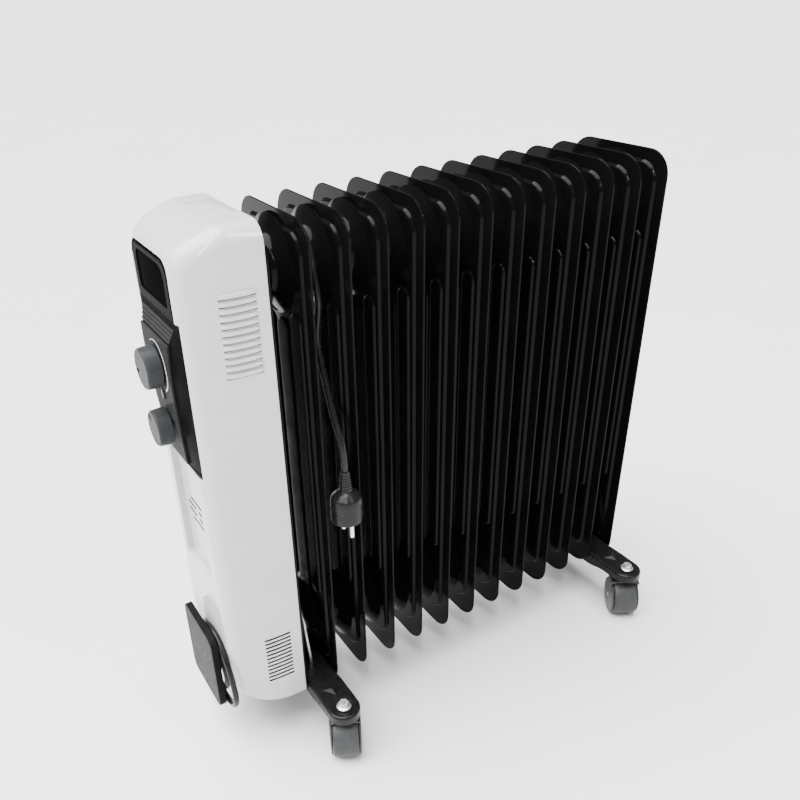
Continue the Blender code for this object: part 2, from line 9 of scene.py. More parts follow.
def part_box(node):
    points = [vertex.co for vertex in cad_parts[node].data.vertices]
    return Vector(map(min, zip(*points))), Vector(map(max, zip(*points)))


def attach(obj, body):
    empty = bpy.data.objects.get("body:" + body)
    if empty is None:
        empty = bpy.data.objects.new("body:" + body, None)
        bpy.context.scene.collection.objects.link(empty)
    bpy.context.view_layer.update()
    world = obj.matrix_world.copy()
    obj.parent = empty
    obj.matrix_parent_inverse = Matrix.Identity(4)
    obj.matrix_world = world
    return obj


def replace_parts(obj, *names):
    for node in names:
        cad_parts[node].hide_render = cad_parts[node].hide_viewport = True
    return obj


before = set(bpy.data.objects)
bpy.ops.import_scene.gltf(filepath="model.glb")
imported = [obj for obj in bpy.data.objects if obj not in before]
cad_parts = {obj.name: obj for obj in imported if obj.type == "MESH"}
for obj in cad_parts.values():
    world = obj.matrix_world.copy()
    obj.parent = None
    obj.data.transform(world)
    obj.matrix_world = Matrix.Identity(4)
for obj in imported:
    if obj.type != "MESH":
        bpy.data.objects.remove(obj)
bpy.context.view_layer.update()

# Measures along X are taken from the second fin and heights from the fins' bottom edge, as in the CAD.
fin_low, fin_high = (Vector(corner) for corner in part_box("fin_02"))
SHIFT = Vector(((fin_low.x + fin_high.x) / 2, 0.0, fin_low.z))


def span(node):
    """A node's lowest and highest corners in the measuring frame."""
    low, high = (Vector(corner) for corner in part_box(node))
    return low - SHIFT, high - SHIFT


def middle(node):
    low, high = span(node)
    return (low + high) / 2


# ---------------------------------------------------------------- camera

camera_data = bpy.data.cameras.new("camera")
camera_data.sensor_width = 36
camera_data.lens = 36.37
camera_data.shift_x = 0.0593
camera_data.shift_y = 0.0544
camera = bpy.data.objects.new("camera", camera_data)
bpy.context.scene.collection.objects.link(camera)
CAMERA_SPOT = SHIFT + Vector((-0.32167, -0.71856, 0.77765))
RIGHT = Vector((0.86208, -0.50536, -0.03788))
FORWARD = Vector((0.4176, 0.75073, -0.51187))
UP = RIGHT.cross(FORWARD).normalized()
camera.matrix_world = Matrix.Translation(CAMERA_SPOT) @ Matrix((RIGHT, UP, -FORWARD)).transposed().to_4x4()
bpy.context.scene.camera = camera

# ---------------------------------------------------------------- materials

NOISE_LOW, NOISE_HIGH = 0.3, 0.7  # what a noise value mostly lies between
DENT_DEPTH = 0.0002
ROUGHNESS_GRAIN = 2.7  # how much finer the roughness varies than the colour


def finish(name, low, high, rough, spread, grain, bump, fine, metal=0.0, stretch=None, **more):
    """A material whose colour, roughness and surface each vary.

    low and high are the colour's two ends, and rough and spread the middle and the reach of the roughness.
    grain and fine are the scales of the colour's noise and of the dents. more holds further shader inputs.
    """
    made = bpy.data.materials.new(name)
    made.use_nodes = True
    tree = made.node_tree
    shader = tree.nodes["Principled BSDF"]
    spot = tree.nodes.new("ShaderNodeTexCoord").outputs["Object"]

    def noise(scale, detail):
        made_noise = tree.nodes.new("ShaderNodeTexNoise")
        made_noise.inputs["Scale"].default_value = scale
        made_noise.inputs["Detail"].default_value = detail
        source = spot
        if stretch:
            mapping = tree.nodes.new("ShaderNodeMapping")
            mapping.inputs["Scale"].default_value = stretch
            tree.links.new(spot, mapping.inputs["Vector"])
            source = mapping.outputs["Vector"]
        tree.links.new(source, made_noise.inputs["Vector"])
        return made_noise.outputs["Fac"]

    def remap(value, a, b):
        step = tree.nodes.new("ShaderNodeMapRange")
        step.inputs["From Min"].default_value = NOISE_LOW
        step.inputs["From Max"].default_value = NOISE_HIGH
        step.inputs["To Min"].default_value = a
        step.inputs["To Max"].default_value = b
        tree.links.new(value, step.inputs["Value"])
        return step.outputs["Result"]

    mix = tree.nodes.new("ShaderNodeMix")
    mix.data_type = "RGBA"
    mix.inputs["A"].default_value = (*low, 1)
    mix.inputs["B"].default_value = (*high, 1)
    tree.links.new(remap(noise(grain, 5), 0, 1), mix.inputs["Factor"])
    tree.links.new(mix.outputs["Result"], shader.inputs["Base Color"])
    sheen = remap(noise(grain * ROUGHNESS_GRAIN, 4), rough - spread, rough + spread)
    tree.links.new(sheen, shader.inputs["Roughness"])
    dents = tree.nodes.new("ShaderNodeBump")
    dents.inputs["Strength"].default_value = bump
    dents.inputs["Distance"].default_value = DENT_DEPTH
    tree.links.new(noise(fine, 3), dents.inputs["Height"])
    tree.links.new(dents.outputs["Normal"], shader.inputs["Normal"])
    shader.inputs["Metallic"].default_value = metal
    for socket, value in more.items():
        shader.inputs[socket.replace("_", " ")].default_value = value
    return made


MATERIALS = {
    "black_enamel": finish(
        "enamel", (0.0022, 0.0022, 0.0024), (0.0040, 0.0040, 0.0043), 0.12, 0.03,
        grain=18, bump=0.012, fine=330, Specular_IOR_Level=0.055,
    ),
    "white_abs": finish(
        "white_abs_gloss", (0.50, 0.515, 0.51), (0.54, 0.555, 0.55), 0.14, 0.03,
        grain=22, bump=0.03, fine=420,
    ),
    "dark_plastic": finish(
        "dark_plastic_satin", (0.0035, 0.0035, 0.0038), (0.0055, 0.0055, 0.006), 0.28, 0.05,
        grain=60, bump=0.08, fine=1600, Specular_IOR_Level=0.02, IOR=1.15,
    ),
    "grey_plastic": finish(
        "grey_plastic_satin", (0.020, 0.0205, 0.0205), (0.026, 0.0265, 0.0265), 0.30, 0.05,
        grain=60, bump=0.03, fine=1800, Specular_IOR_Level=0.02, IOR=1.15,
    ),
    "window_black": finish(
        "window_gloss", (0.0015, 0.0015, 0.0018), (0.0030, 0.0030, 0.0034), 0.07, 0.02,
        grain=12, bump=0.02, fine=200, Specular_IOR_Level=0.01, IOR=1.04,
    ),
    "lamp_lens": finish(
        "lamp_smoked", (0.010, 0.0075, 0.007), (0.016, 0.012, 0.011), 0.20, 0.03,
        grain=150, bump=0.05, fine=700, Specular_IOR_Level=0.03,
    ),
    "knob_plastic": finish(
        "knob_satin", (0.026, 0.029, 0.030), (0.032, 0.035, 0.037), 0.26, 0.04,
        grain=70, bump=0.03, fine=1900, Specular_IOR_Level=0.06,
    ),
    "cream_plastic": finish(
        "phenolic", (0.42, 0.37, 0.27), (0.55, 0.49, 0.37), 0.5, 0.06,
        grain=90, bump=0.3, fine=900,
    ),
    "cable_pvc": finish(
        "cable_pvc_black", (0.0055, 0.0055, 0.006), (0.009, 0.009, 0.0095), 0.30, 0.06,
        grain=90, bump=0.05, fine=900, Specular_IOR_Level=0.18,
    ),
    "foot_paint": finish(
        "foot_powder_paint", (0.0045, 0.0045, 0.005), (0.0075, 0.0075, 0.008), 0.28, 0.05,
        grain=45, bump=0.03, fine=1300, Specular_IOR_Level=0.16,
    ),
    "zinc": finish(
        "zinc_plate", (0.72, 0.73, 0.74), (0.80, 0.81, 0.82), 0.38, 0.05, metal=1.0,
        grain=220, bump=0.02, fine=1500,
    ),
    "bare_steel": finish(
        "drawn_steel", (0.36, 0.36, 0.37), (0.55, 0.55, 0.56), 0.34, 0.1, metal=1.0,
        grain=160, bump=0.2, fine=900, stretch=(0.25, 1, 1),
    ),
    "caster_tread": finish(
        "caster_nylon", (0.034, 0.036, 0.037), (0.044, 0.046, 0.047), 0.44, 0.07,
        grain=120, bump=0.15, fine=1400, Specular_IOR_Level=0.2,
    ),
}
# Looks of single pieces.
KNOB_FACE = finish(
    "knob_face_satin", (0.030, 0.0297, 0.029), (0.037, 0.0366, 0.0358), 0.33, 0.05,
    grain=90, bump=0.05, fine=2200, Specular_IOR_Level=0.02,
)
PRINT_WHITE = finish(
    "scale_print", (0.72, 0.73, 0.72), (0.82, 0.83, 0.82), 0.42, 0.05,
    grain=400, bump=0.1, fine=2500,
)
# Painted shade: a dark grey for the housing's inner faces, which are of the same white plastic.
INSIDE_PAINTED_SHADE = finish(
    "shell_inside_shade", (0.030, 0.031, 0.031), (0.045, 0.046, 0.046), 0.6, 0.05,
    grain=40, bump=0.2, fine=700,
)
PLATE_LOOK = finish(
    "wrap_plate_satin", (0.0052, 0.0054, 0.0054), (0.0078, 0.0080, 0.0080), 0.42, 0.05,
    grain=60, bump=0.1, fine=1500, Specular_IOR_Level=0.03,
)
# Painted shade: the caster yokes' plastic is made darker than the tread, for the shade on the wheels' side
# faces.
CASTER_SIDE_SHADE = finish(
    "caster_side_painted_shade", (0.010, 0.0105, 0.011), (0.016, 0.0165, 0.017), 0.38, 0.06,
    grain=90, bump=0.2, fine=1500,
)

# ---------------------------------------------------------------- mesh helpers


SMOOTH_ANGLE = 35  # degrees
WELD = 1e-6


def shade(mesh, angle=SMOOTH_ANGLE):
    """Smooth shading, with sharp edges where two faces meet at more than the angle."""
    for face in mesh.polygons:
        face.use_smooth = True
    mesh.set_sharp_from_angle(angle=math.radians(angle))


def place(name, bm, origin=(0, 0, 0), angle=SMOOTH_ANGLE):
    """An object from a bmesh in the measuring frame, with its origin at the given point."""
    origin = Vector(origin)
    bmesh.ops.remove_doubles(bm, verts=bm.verts, dist=WELD)
    bmesh.ops.recalc_face_normals(bm, faces=bm.faces)
    bmesh.ops.translate(bm, verts=bm.verts, vec=-origin)
    mesh = bpy.data.meshes.new(name)
    bm.to_mesh(mesh)
    bm.free()
    shade(mesh, angle)
    obj = bpy.data.objects.new(name, mesh)
    obj.location = origin + SHIFT
    bpy.context.scene.collection.objects.link(obj)
    return obj


def belongs(obj, slot, body="heater", nodes=(), look=None):
    """Gives a piece its material, from its slot unless a look is given, and its body, and hides the CAD nodes
    that it stands for.
    """
    obj.data.materials.clear()
    obj.data.materials.append(look or MATERIALS[slot])
    if nodes:
        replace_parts(obj, *nodes)
    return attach(obj, body)


def piece(name, bm, slot, body="heater", nodes=(), origin=(0, 0, 0), look=None, angle=SMOOTH_ANGLE):
    """A whole piece from a bmesh."""
    return belongs(place(name, bm, origin, angle), slot, body, nodes, look)


def boolean(obj, tool, operation="DIFFERENCE"):
    """Cuts the object by a bmesh or an object, or joins it, at once. The tool is used up."""
    helper = tool if isinstance(tool, bpy.types.Object) else place("helper", tool)
    step = obj.modifiers.new("step", "BOOLEAN")
    step.solver = "EXACT"
    step.operation = operation
    step.object = helper
    return bake(obj, helper)


def walled(obj, thickness):
    """Gives an open skin a wall, on its inner side."""
    wall = obj.modifiers.new("wall", "SOLIDIFY")
    wall.thickness = thickness
    wall.offset = -1
    wall.use_even_offset = True
    return bake(obj)


def bake(obj, helper=None):
    """Applies the modifiers, and removes the helper that they use."""
    graph = bpy.context.evaluated_depsgraph_get()
    graph.update()
    mesh = bpy.data.meshes.new_from_object(obj.evaluated_get(graph))
    obj.modifiers.clear()
    obj.data = mesh
    if helper:
        bpy.data.objects.remove(helper, do_unlink=True)
    shade(mesh)
    return obj


def weighted(obj):
    """Lets the big faces steer the shading, so that flat areas stay flat."""
    step = obj.modifiers.new("normals", "WEIGHTED_NORMAL")
    step.keep_sharp = True
    return obj


def loft(rings, bm=None, closed=False, caps=True):
    """A skin over rings of equal point counts. closed joins the last ring to the first."""
    bm = bm or bmesh.new()
    rows = [[bm.verts.new(point) for point in ring] for ring in rings]
    count = len(rows[0])
    pairs = list(zip(rows, rows[1:]))
    if closed:
        pairs.append((rows[-1], rows[0]))
    for low, high in pairs:
        for i in range(count):
            j = (i + 1) % count
            bm.faces.new((low[i], low[j], high[j], high[i]))
    if caps and not closed:
        bm.faces.new(list(reversed(rows[0])))
        bm.faces.new(rows[-1])
    return bm


def cup(rings):
    """A skin over rings, closed at the last one only."""
    bm = loft(rings, caps=False)
    bm.verts.ensure_lookup_table()
    bm.faces.new(bm.verts[-len(rings[0]):])
    return bm


def along(axis, centre, a, b, h):
    """The point at h along X or Z, and (a, b) away from the centre across it."""
    x, y, z = centre
    return Vector((h, y + a, z + b)) if axis == "X" else Vector((x + a, y + b, h))


def revolve(profile, axis, centre, sides=48, bm=None, closed=False):
    """A turned shape. profile holds (radius, distance along the axis) pairs."""
    turns = [2 * math.pi * k / sides for k in range(sides)]
    rings = [[along(axis, centre, r * math.cos(t), r * math.sin(t), h) for t in turns] for r, h in profile]
    return loft(rings, bm, closed)


def rod(axis, centre, radius, start, end, sides=24, bm=None):
    return revolve([(radius, start), (radius, end)], axis, centre, sides, bm)


def rounded(y0, y1, z0, z1, radius, steps, top_radius=None):
    """The outline of a rectangle with round corners, as (y, z) pairs. Each corner has that many steps."""
    top = radius if top_radius is None else top_radius
    points = []
    for cy, cz, r, start in (
        (y1 - radius, z0 + radius, radius, -90),
        (y1 - top, z1 - top, top, 0),
        (y0 + top, z1 - top, top, 90),
        (y0 + radius, z0 + radius, radius, 180),
    ):
        for k in range(steps + 1):
            t = math.radians(start + 90 * k / steps)
            points.append((cy + r * math.cos(t), cz + r * math.sin(t)))
    return points


def slab(outline, x0, x1, bm=None):
    """An outline of (y, z) pairs, drawn out from x0 to x1."""
    return loft([[Vector((x, y, z)) for y, z in outline] for x in (x0, x1)], bm)


def box(x0, x1, y0, y1, z0, z1):
    return slab([(y0, z0), (y1, z0), (y1, z1), (y0, z1)], x0, x1)


def soft_slab(outline_at, x0, x1, edge, steps=4):
    """A slab whose front edge at x0 is rounded: outline_at takes the inset."""
    rings = []
    for k in range(steps + 1):
        t = math.pi / 2 * k / steps
        rings.append((x0 + edge * (1 - math.cos(t)), edge * (1 - math.sin(t))))
    rings.append((x1, 0.0))
    return loft([[Vector((x, y, z)) for y, z in outline_at(inset)] for x, inset in rings])


FILLET_SHARE = 0.45  # the most of a side that one fillet takes


def fillet(points, radius, steps=4):
    """A (radius, distance) profile with the corners between its ends rounded off."""
    points = [Vector(p) for p in points]
    out = [points[0]]
    for a, b, c in zip(points, points[1:], points[2:]):
        before, after = (a - b), (c - b)
        cut = min(radius, before.length * FILLET_SHARE, after.length * FILLET_SHARE)
        start, end = b + before.normalized() * cut, b + after.normalized() * cut
        for k in range(steps + 1):
            t = k / steps
            out.append(start.lerp(b, t).lerp(b.lerp(end, t), t))
    out.append(points[-1])
    return [tuple(p) for p in out]


def moved(bm, yaw, to):
    """Turns a bmesh round the vertical through the origin, and then moves it."""
    bmesh.ops.transform(bm, matrix=Matrix.Rotation(yaw, 4, "Z"), verts=bm.verts)
    bmesh.ops.translate(bm, verts=bm.verts, vec=to)
    return bm


def curve_piece(name, points, radius, slot, nodes, sides=6, resolution=6):
    """A round line through points, on the heater's own body."""
    curve = bpy.data.curves.new(name, "CURVE")
    curve.dimensions = "3D"
    curve.bevel_depth = radius
    curve.bevel_resolution = sides
    curve.resolution_u = resolution
    curve.use_fill_caps = True
    path = curve.splines.new("BEZIER")
    path.bezier_points.add(len(points) - 1)
    for knot, point in zip(path.bezier_points, points):
        knot.co = point
        knot.handle_left_type = knot.handle_right_type = "AUTO"
    path.use_smooth = True
    obj = bpy.data.objects.new(name, curve)
    obj.location = SHIFT
    bpy.context.scene.collection.objects.link(obj)
    return belongs(obj, slot, nodes=nodes)


def smooth(t):
    """0 to 1 with soft ends."""
    t = min(1.0, max(0.0, t))
    return t * t * (3 - 2 * t)


def arc_points(cy, cz, r, start, end, step):
    """(y, z) points of an arc from start to end, in degrees."""
    count = round(abs(end - start) / step)
    angles = [math.radians(start + (end - start) * k / count) for k in range(count + 1)]
    return [(cy + r * math.cos(a), cz + r * math.sin(a)) for a in angles]


# ---------------------------------------------------------------- main measures

PITCH = span("fin_03")[0].x - span("fin_02")[0].x
MID = PITCH / 2
FIN_HALF_DEPTH = fin_high.y
FIN_HEIGHT = fin_high.z - fin_low.z
UPPER_Z, LOWER_Z = 0.5235, 0.0675
HOUSING_FRONT, HOUSING_REAR = -0.1270, -0.0436
HOUSING_HALF_W, HOUSING_TOP, HOUSING_BOTTOM = 0.0755, 0.588, 0.008
PLATE_LOW, PLATE_HIGH = span("cord_wrap_plate")
PLATE_BACK = -0.1349
KNOB_Z = middle("thermostat_knob").z
SELECTOR_Z = middle("selector_knob").z
LAMP_Z = middle("indicator_lamp").z
GAP = 0.0003  # the air between two pieces that would touch

# ---------------------------------------------------------------- cord, gland and plug

CORD_R = 0.0035
WIND_X = -0.13095  # the plane of the winding
TURN_LOW, TURN_HIGH = 0.056, 0.072  # the middles of the hub's two round ends
ARCH_R = 0.0382  # over the top manifold
BOOT = 0.024
DIVE_TOP = Vector((-0.1277, 0.0236, 0.0505))
DIVE_END = Vector((-0.1215, 0.0256, 0.0360))
DIVE = (DIVE_END - DIVE_TOP).normalized()
ELBOW = DIVE_END + DIVE * 0.012
EXIT = ELBOW - DIVE * BOOT

# From the gland's boot up to the inner turn, and outward turn by turn, as (y, z) pairs.
winding = [(0.0240, 0.0645), (0.0240, 0.0715)]
for k, r in enumerate((0.0240, 0.0240, 0.0240, 0.0240, 0.0240, 0.0243, 0.0247, 0.0251, 0.0258)):
    t = math.radians(15 + 15 * k)
    winding.append((r * math.cos(t), TURN_HIGH + r * math.sin(t)))
winding += [
    (-0.0300, 0.0860), (-0.0410, 0.0770), (-0.0470, 0.0650), (-0.0470, 0.0530), (-0.0410, 0.0410),
    (-0.0300, 0.0315), (-0.0160, 0.0262), (-0.0040, 0.0250),
]
winding += arc_points(0, TURN_LOW, 0.0311, -75, 0, 15)
winding += arc_points(0, TURN_HIGH, 0.0313, 0, 60, 15)
winding += [
    (0.0080, 0.1040), (-0.0010, 0.1090), (-0.0130, 0.1125), (-0.0280, 0.1125), (-0.0420, 0.1065),
    (-0.0530, 0.0965), (-0.0610, 0.0840), (-0.0665, 0.0710), (-0.0700, 0.0580), (-0.0705, 0.0450),
    (-0.0660, 0.0335), (-0.0575, 0.0250), (-0.0465, 0.0200), (-0.0340, 0.0178), (-0.0200, 0.0169),
    (-0.0050, 0.0167), (0.0120, 0.0164),
]
dive = [Vector((WIND_X + 0.00325 * ((0.0640 - z) / 0.0135) ** 2, 0.0238, z)) for z in (0.0550, 0.0595)]
arch = [(MID, y, z) for y, z in arc_points(0, UPPER_Z, ARCH_R, 0, 180, 20)]
route = [
    EXIT,
    EXIT - DIVE * 0.0030,
    *dive,
    *((WIND_X, y, z) for y, z in winding),
    # under the housing and up the far side between the first two fins
    (-0.1308, 0.0290, 0.0158),
    (-0.1300, 0.0380, 0.0150),
    (-0.1275, 0.0480, 0.0138),
    (-0.1225, 0.0590, 0.0130),
    (-0.1145, 0.0700, 0.0135),
    (-0.1040, 0.0795, 0.0150),
    (-0.0920, 0.0885, 0.0170),
    (-0.0700, 0.0965, 0.0240),
    (-0.0450, 0.0985, 0.0290),
    (-0.0211, 0.0975, 0.0292),
    (-0.0010, 0.0955, 0.0345),
    (0.0130, 0.0925, 0.0520),
    (0.0200, 0.0900, 0.0850),
    (0.0213, 0.0860, 0.1500),
    (0.0212, 0.0770, 0.2500),
    (0.0211, 0.0640, 0.3600),
    (0.0211, 0.0500, 0.4500),
    (MID, 0.0410, 0.4950),
    *arch,
    # down to the plug
    (MID, -0.0430, 0.5060),
    (MID, -0.0455, 0.4900),
    (MID, -0.0415, 0.4700),
    (MID, -0.0380, 0.4520),
    (MID, -0.0400, 0.4370),
    (MID, -0.0500, 0.4080),
    (MID, -0.0660, 0.3680),
    (MID, -0.0790, 0.3440),
    (MID, -0.0829, 0.3240),
    (MID, -0.0830, 0.3142),
]
cord = curve_piece(
    "power_cord_line", route, CORD_R, "cable_pvc", ("power_cord", "power_cord_winding"), resolution=8
)


def aimed(bm, start, direction):
    """Turns a bmesh made along +Z from the origin to start there and point along the direction."""
    turn = direction.to_track_quat("Z", "Y").to_matrix().to_4x4()
    bmesh.ops.transform(bm, matrix=Matrix.Translation(start) @ turn, verts=bm.verts)
    return bm


def merged(*parts):
    """One bmesh from several."""
    whole = bmesh.new()
    for part in parts:
        mesh = bpy.data.meshes.new("part")
        part.to_mesh(mesh)
        part.free()
        whole.from_mesh(mesh)
        bpy.data.meshes.remove(mesh)
    return whole


OUT_OF_HOUSING = Vector((-0.727, 0, -0.686)).normalized()
boot = [(0.0002, 0.0), (0.0052, 0.0), (0.0050, 0.0030)]
for k in range(8):
    h, r = 0.0035 + 0.0023 * k, 0.0050 - 0.00016 * k
    boot += [(r, h), (r, h + 0.0013), (r - 0.0005, h + 0.0015), (r - 0.0005, h + 0.0021)]
boot += [(0.0037, BOOT - 0.0004), (0.0034, BOOT), (0.0002, BOOT)]
collar = fillet([
    (0.0002, -0.0052), (0.0050, -0.0052), (0.0064, -0.0030), (0.0066, 0.0052), (0.0078, 0.0056),
    (0.0078, 0.0068), (0.0002, 0.0068),
], 0.0008)
gland = merged(
    aimed(revolve(boot, "Z", (0, 0, 0), 32), ELBOW, -DIVE),
    aimed(revolve(collar, "Z", (0, 0, 0), 40), ELBOW, -OUT_OF_HOUSING),
)
gland = piece("cord_gland_boot", gland, "dark_plastic", nodes=("cord_gland",))

PLUG_Y, PIN_APART = -0.083, 0.019
plug_body = fillet(
    [
        (0.0046, 0.3137), (0.0070, 0.2900), (0.0105, 0.2880), (0.0165, 0.2820),
        (0.0178, 0.2760), (0.0178, 0.2530), (0.0165, 0.2512), (0.0001, 0.2512),
    ],
    0.0012,
)
plug = revolve(plug_body, "Z", (MID, PLUG_Y, 0), 48)
for k in range(6):  # the rings of the strain relief
    z = 0.2925 + 0.0032 * k
    r = 0.0070 - 0.0024 * (z - 0.2900) / 0.0237
    ring = [(r - 0.001, z), (r + 0.0006, z + 0.0003), (r + 0.0006, z + 0.0012), (r - 0.001, z + 0.0015)]
    revolve(ring, "Z", (MID, PLUG_Y, 0), 32, plug)
for k in range(5):  # the grip ridges
    z = 0.2560 + 0.0040 * k
    ridge = [(0.0170, z), (0.01795, z + 0.0004), (0.01795, z + 0.0016), (0.0170, z + 0.0020)]
    revolve(ridge, "Z", (MID, PLUG_Y, 0), 48, plug)
plug = piece("power_plug_body", plug, "cable_pvc", nodes=("plug",))
pins = bmesh.new()
for side in (-1, 1):
    revolve(
        fillet([(0.0024, 0.2530), (0.0024, 0.2330), (0.0012, 0.2321), (0.0001, 0.2321)], 0.0006),
        "Z", (MID, PLUG_Y + side * PIN_APART / 2, 0), 24, pins,
    )
pins = piece("power_plug_pins", pins, "zinc")

# ---------------------------------------------------------------- fins

CORNER = 0.029
RIM, PILLOW, RIB = 0.0010, 0.0042, 0.0068  # half thicknesses of a fin at its rim, its pillow and its ribs
PILLOW_Y, PILLOW_LOW, PILLOW_HIGH, PILLOW_CORNER = 0.0628, 0.0245, 0.5665, 0.024
PILLOW_SLOPE, RIB_SLOPE = 0.0034, 0.0026  # how wide the pressed steps are
STEP_POWER = 0.7  # below 1 the step is steeper at its foot
RIBS = (  # on each half: from and to along Y, and from and to along Z
    (0.0020, 0.0300, 0.120, 0.473),
    (0.0345, 0.0560, 0.130, 0.486),
)
NECKS = ((UPPER_Z, 0.0335), (LOWER_Z, 0.0340))
FLARE = (  # how far the neck's flare reaches past the neck, and the height there
    (0.0170, PILLOW - 0.0010), (0.0170, PILLOW - 0.0001), (0.0148, 0.0048), (0.0124, 0.0060),
    (0.0098, 0.0075), (0.0072, 0.0090), (0.0048, 0.0107), (0.0030, 0.0124), (0.0016, 0.0143),
    (0.0006, 0.0163),
)


def rim_outline(inset):
    return rounded(
        -FIN_HALF_DEPTH + inset, FIN_HALF_DEPTH - inset, inset, FIN_HEIGHT - inset, CORNER - inset, 10
    )


def pillow_outline(inset):
    corner = PILLOW_CORNER - inset * 0.6
    return rounded(-PILLOW_Y + inset, PILLOW_Y - inset, PILLOW_LOW + inset, PILLOW_HIGH - inset, corner, 10)


def shoulder(low, high, width, steps=6):
    """(inset, height) pairs of a pressed step: a small fillet, a steep wall and a round shoulder."""
    shares = [k / steps for k in range(steps + 1)]
    return [(width * t, low + (high - low) * smooth(t**STEP_POWER)) for t in shares]


def fin_mesh(name, outer_neck):
    """One fin round its own middle plane. outer_neck is False on the last fin."""
    half = [(inset, h, pillow_outline) for inset, h in reversed(shoulder(RIM, PILLOW, PILLOW_SLOPE, 8))]
    half += [(0.0006, RIM, rim_outline), (0.0001, RIM * 0.6, rim_outline)]
    rings = [[Vector((-h, y, z)) for y, z in outline(inset)] for inset, h, outline in half]
    rings.append([Vector((0, y, z)) for y, z in rim_outline(0)])
    rings += [[Vector((h, y, z)) for y, z in outline(inset)] for inset, h, outline in reversed(half)]
    body = place(name, loft(rings))
    adds = bmesh.new()
    for way in (-1, 1):
        for side in (-1, 1):
            for y0, y1, bottom, top in RIBS:
                y_low, y_high = sorted((side * y0, side * y1))
                rings = []
                for inset, h in [(-0.0002, PILLOW - 0.0010), *shoulder(PILLOW - 0.0001, RIB, RIB_SLOPE)]:
                    radius = (y_high - y_low) / 2 - 0.0001 - inset
                    outline = rounded(y_low + inset, y_high - inset, bottom + inset, top - inset, radius, 7)
                    rings.append([Vector((way * h, y, z)) for y, z in outline])
                loft(rings, adds)
        if way > 0 and not outer_neck:
            continue
        joint = PITCH / 2 - GAP / 2
        for centre, neck in NECKS:
            profile = [(neck + reach, h) for reach, h in FLARE] + [(neck, 0.0182), (neck, joint - 0.0008)]
            profile += [(neck - 0.0004, joint - 0.0002), (neck - 0.0010, joint)]
            revolve([(r, way * h) for r, h in profile], "X", (0, 0, centre), 64, adds)
    boolean(body, adds, "UNION")
    mesh = body.data
    bpy.data.objects.remove(body, do_unlink=True)
    mesh.materials.clear()
    mesh.materials.append(MATERIALS["black_enamel"])
    return mesh


fin_nodes = sorted(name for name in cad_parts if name.startswith("fin_"))
inner_fin, last_fin = fin_mesh("fin_inner", True), fin_mesh("fin_last", False)
for k, node in enumerate(fin_nodes):
    fin = bpy.data.objects.new(f"pressed_{node}", last_fin if k == len(fin_nodes) - 1 else inner_fin)
    fin.location = SHIFT + Vector(((k - 1) * PITCH, 0, 0))
    bpy.context.scene.collection.objects.link(fin)
    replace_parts(weighted(fin), node)
    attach(fin, "heater")

# ---------------------------------------------------------------- housing

WALL = 0.0025
SIDE_ROUND, TOP_ROUND = 0.012, 0.007  # the rounding from the front into the sides and the top
SIDE_DRAW = 0.0135  # how much narrower each side is at the front
SLOPE_START, SLOPE_RUN, SLOPE_DROP = -0.0775, 0.0495, 0.0214  # of the top, towards the front
CHIN_RISE, CHIN_CURVE = 0.072, 2.4  # of the bottom, towards the front
STATIONS = 44  # sections from the rear to the front


def front_arc(depth, radius):
    """How far a rounded edge lies inside the side, at a depth behind the front."""
    return radius - math.sqrt(radius**2 - (radius - max(depth, 0.0)) ** 2) if depth < radius else 0.0


def side_y(x):
    u = (HOUSING_REAR - x) / (HOUSING_REAR - HOUSING_FRONT)
    return HOUSING_HALF_W - SIDE_DRAW * u**3.2 - front_arc(x - HOUSING_FRONT, SIDE_ROUND)


def housing_outline(x):
    """The housing's outer outline at x, as (y, z) pairs."""
    u = (HOUSING_REAR - x) / (HOUSING_REAR - HOUSING_FRONT)
    half = side_y(x)
    drop = SLOPE_DROP * (max(0.0, SLOPE_START - x) / SLOPE_RUN) ** 1.5
    top = HOUSING_TOP - drop - front_arc(x - HOUSING_FRONT, TOP_ROUND)
    bottom = HOUSING_BOTTOM + CHIN_RISE * (1 - (1 - min(1.0, u**CHIN_CURVE)) ** (1 / CHIN_CURVE))
    return rounded(-half, half, bottom, top, 0.012, 8, 0.020)


stations = [
    HOUSING_REAR + (HOUSING_FRONT - HOUSING_REAR) * math.sin(math.radians(90 * k / STATIONS))
    for k in range(STATIONS + 1)
]
skin = cup([[Vector((x, y, z)) for y, z in housing_outline(x)] for x in stations])
shell = walled(place("housing_shell_cover", skin), WALL)

# The pocket is the recess of the housing's front, with the four rows of slots.
POCKET_HALF, POCKET_LOW, POCKET_HIGH, POCKET_X = 0.040, 0.1875, 0.3405, -0.1197
PANEL_BOTTOM, PANEL_SHOULDER, PANEL_TOP = 0.342, 0.505, 0.5625
PANEL_WIDE, PANEL_NARROW, PANEL_ROUND = 0.057, 0.0505, 0.016  # half widths, and the top corners


def panel_outline(grow):
    """The control panel's outline as (y, z) pairs: wide below the shoulder, round at the top."""
    wide, narrow, r = PANEL_WIDE + grow, PANEL_NARROW + grow, PANEL_ROUND
    right = [(wide, PANEL_BOTTOM - grow), (wide, PANEL_SHOULDER + grow), (narrow, PANEL_SHOULDER + grow)]
    right += arc_points(narrow - r, PANEL_TOP + grow - r, r, 0, 90, 9)
    return right + [(-y, z) for y, z in reversed(right)]


# The block behind the pocket, the panel's opening, and the pocket itself.
boolean(shell, box(-0.1262, -0.1172, -0.0425, 0.0425, 0.185, 0.3435), "UNION")
boolean(shell, slab(panel_outline(0.0005), -0.14, -0.112))
boolean(shell, slab(rounded(-POCKET_HALF, POCKET_HALF, POCKET_LOW, POCKET_HIGH, 0.010, 8), -0.14, POCKET_X))

